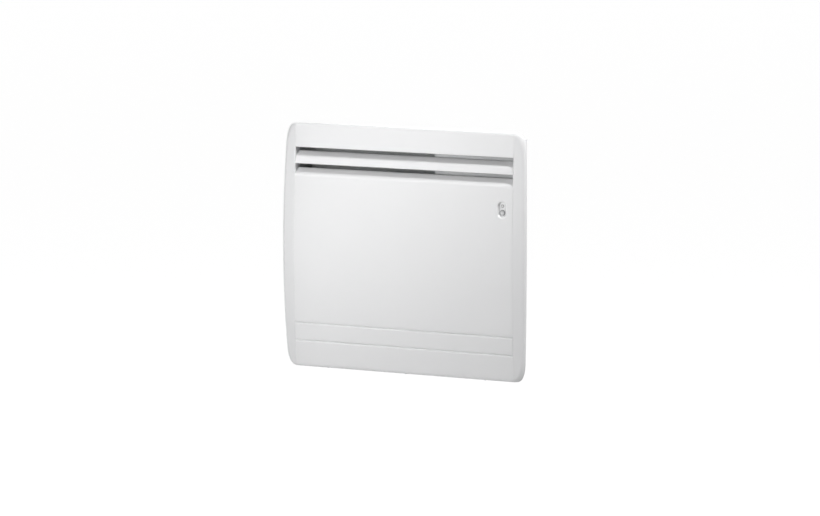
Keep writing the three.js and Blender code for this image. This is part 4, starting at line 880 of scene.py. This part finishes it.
soften(["indicator_lamp"], lens_white, 0.1)
soften(["element_lead_right"], red_silicone, 0)
soften(["element_lead_left"], blue_silicone, 0)
print(sum(not node.data.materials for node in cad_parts.values()), "frame nodes without a finish")

# %% [markdown]
# ## Floor and background
# The photograph has a plain white background. Turning the lamps up until everything behind the
# heater is white would also bleach the heater, so the floor and the world have a second, plainly
# white look, which only the camera and shiny things see. The light path tells the two apart.
# The floor adds only part of its white in this way and owes the rest to the lamps, so it still
# shows the heater's shadow. Its underside is clear, so that the heater can be seen from below.

# %% Floor and world
def where_seen(nodes):
    """1 on rays that come from the camera, from a shiny surface or through glass, and 0 elsewhere."""
    kinds = ("Camera", "Glossy", "Transmission")
    seen, glossy, through = (nodes.node("ShaderNodeLightPath", output=f"Is {kind} Ray") for kind in kinds)
    return seen + glossy + through


FLOOR_LEVEL, FLOOR_REACH = -0.95, 30           # in metres; it reaches this far to each side
FLOOR_GREY, FLOOR_GLOW = 0.50, 0.88            # what it reflects, and the white that it adds
AMBIENT = 0.09                                 # grey of the world, for what it lights

grey = (FLOOR_GREY, FLOOR_GREY, FLOOR_GREY, 1)
floor_paint = Finish("floor_paint", Base_Color=grey, Roughness=0.9, Emission_Strength=FLOOR_GLOW)
floor_paint.set(Emission_Color=floor_paint.colours(where_seen(floor_paint), (0, 0, 0), (1, 1, 1)))
clear = floor_paint.node("ShaderNodeBsdfTransparent")
painted = Signal(floor_paint.tree, floor_paint.shader.outputs[0])
under = floor_paint.node("ShaderNodeNewGeometry", output="Backfacing")
one_sided = floor_paint.node("ShaderNodeMixShader", {0: under, 1: painted, 2: clear})
floor_paint.tree.links.new(one_sided.socket, floor_paint.tree.nodes["Material Output"].inputs["Surface"])
mesh = bpy.data.meshes.new("floor")
corners = [(x * FLOOR_REACH, y * FLOOR_REACH, FLOOR_LEVEL) for x, y in ((-1, -1), (1, -1), (1, 1), (-1, 1))]
mesh.from_pydata(corners, [], [(0, 1, 2, 3)])
mesh.materials.append(floor_paint.material)
floor = bpy.data.objects.new("floor", mesh)
bpy.context.scene.collection.objects.link(floor)

world = bpy.data.worlds.new("studio")
world.use_nodes = True
bpy.context.scene.world = world
sky = Nodes(world.node_tree)
background = world.node_tree.nodes["Background"]
glow = sky.colours(where_seen(sky), (AMBIENT, AMBIENT, AMBIENT), (1, 1, 1))
sky.tree.links.new(glow.socket, background.inputs["Color"])
print("floor at", FLOOR_LEVEL, "m; ambient light", AMBIENT)

# %% [markdown]
# ## Lamps
# The shadows at the right ends of the slots have sharp, rounded edges, so one small key lamp
# stands high on the right and grazes the front. In the photograph the front is brightest at its
# upper left and falls off towards the lower right. Soft lamps that stand near its left half give
# that. Small lamps above and at the right draw the bright rims of the top edge and of the right
# cap. Two lamps behind light the back for the other views. The powers were found by rendering
# each lamp alone and weighing the pictures against brightness levels read from the photograph.

# %% Lamps
def lamp(name, around, above, distance, size, power):
    """A disk at distance * (sin around cos above, -cos around cos above, sin above) from the heater."""
    around, above = math.radians(around), math.radians(above)
    away = Vector((math.sin(around) * math.cos(above), -math.cos(around) * math.cos(above), math.sin(above)))
    light = bpy.data.lights.new(name, "AREA")
    light.shape = "DISK"
    light.size = size
    light.energy = power
    thing = bpy.data.objects.new(name, light)
    bpy.context.scene.collection.objects.link(thing)
    thing.location = Vector((0, -0.1, 0)) + away * distance
    thing.rotation_euler = away.to_track_quat("Z", "Y").to_euler()


LAMPS = [
    # name, degrees around from the front to the right, degrees above level, metres away, size, watts
    ("key", 76, 50, 3.0, 0.2, 50),
    ("near_left", -20, 15, 1.1, 0.4, 3.3),
    ("near_low_left", -30, -6, 1.5, 0.5, 4.0),
    ("near_above", -15, 45, 1.5, 0.5, 2.0),
    ("front", -10, 5, 3.0, 1.0, 9.2),
    ("high_right", 80, 78, 3.0, 0.3, 8.0),
    ("rim_right", 110, 30, 3.0, 0.3, 28),
    ("behind_left", -165, 25, 3.0, 1.2, 18),
    ("behind_right", 160, 25, 3.0, 1.2, 15),
]
for row in LAMPS:
    lamp(*row)
bpy.context.scene.view_settings.view_transform = "Standard"
print(len(LAMPS), "lamps,", sum(row[-1] for row in LAMPS), "watts")
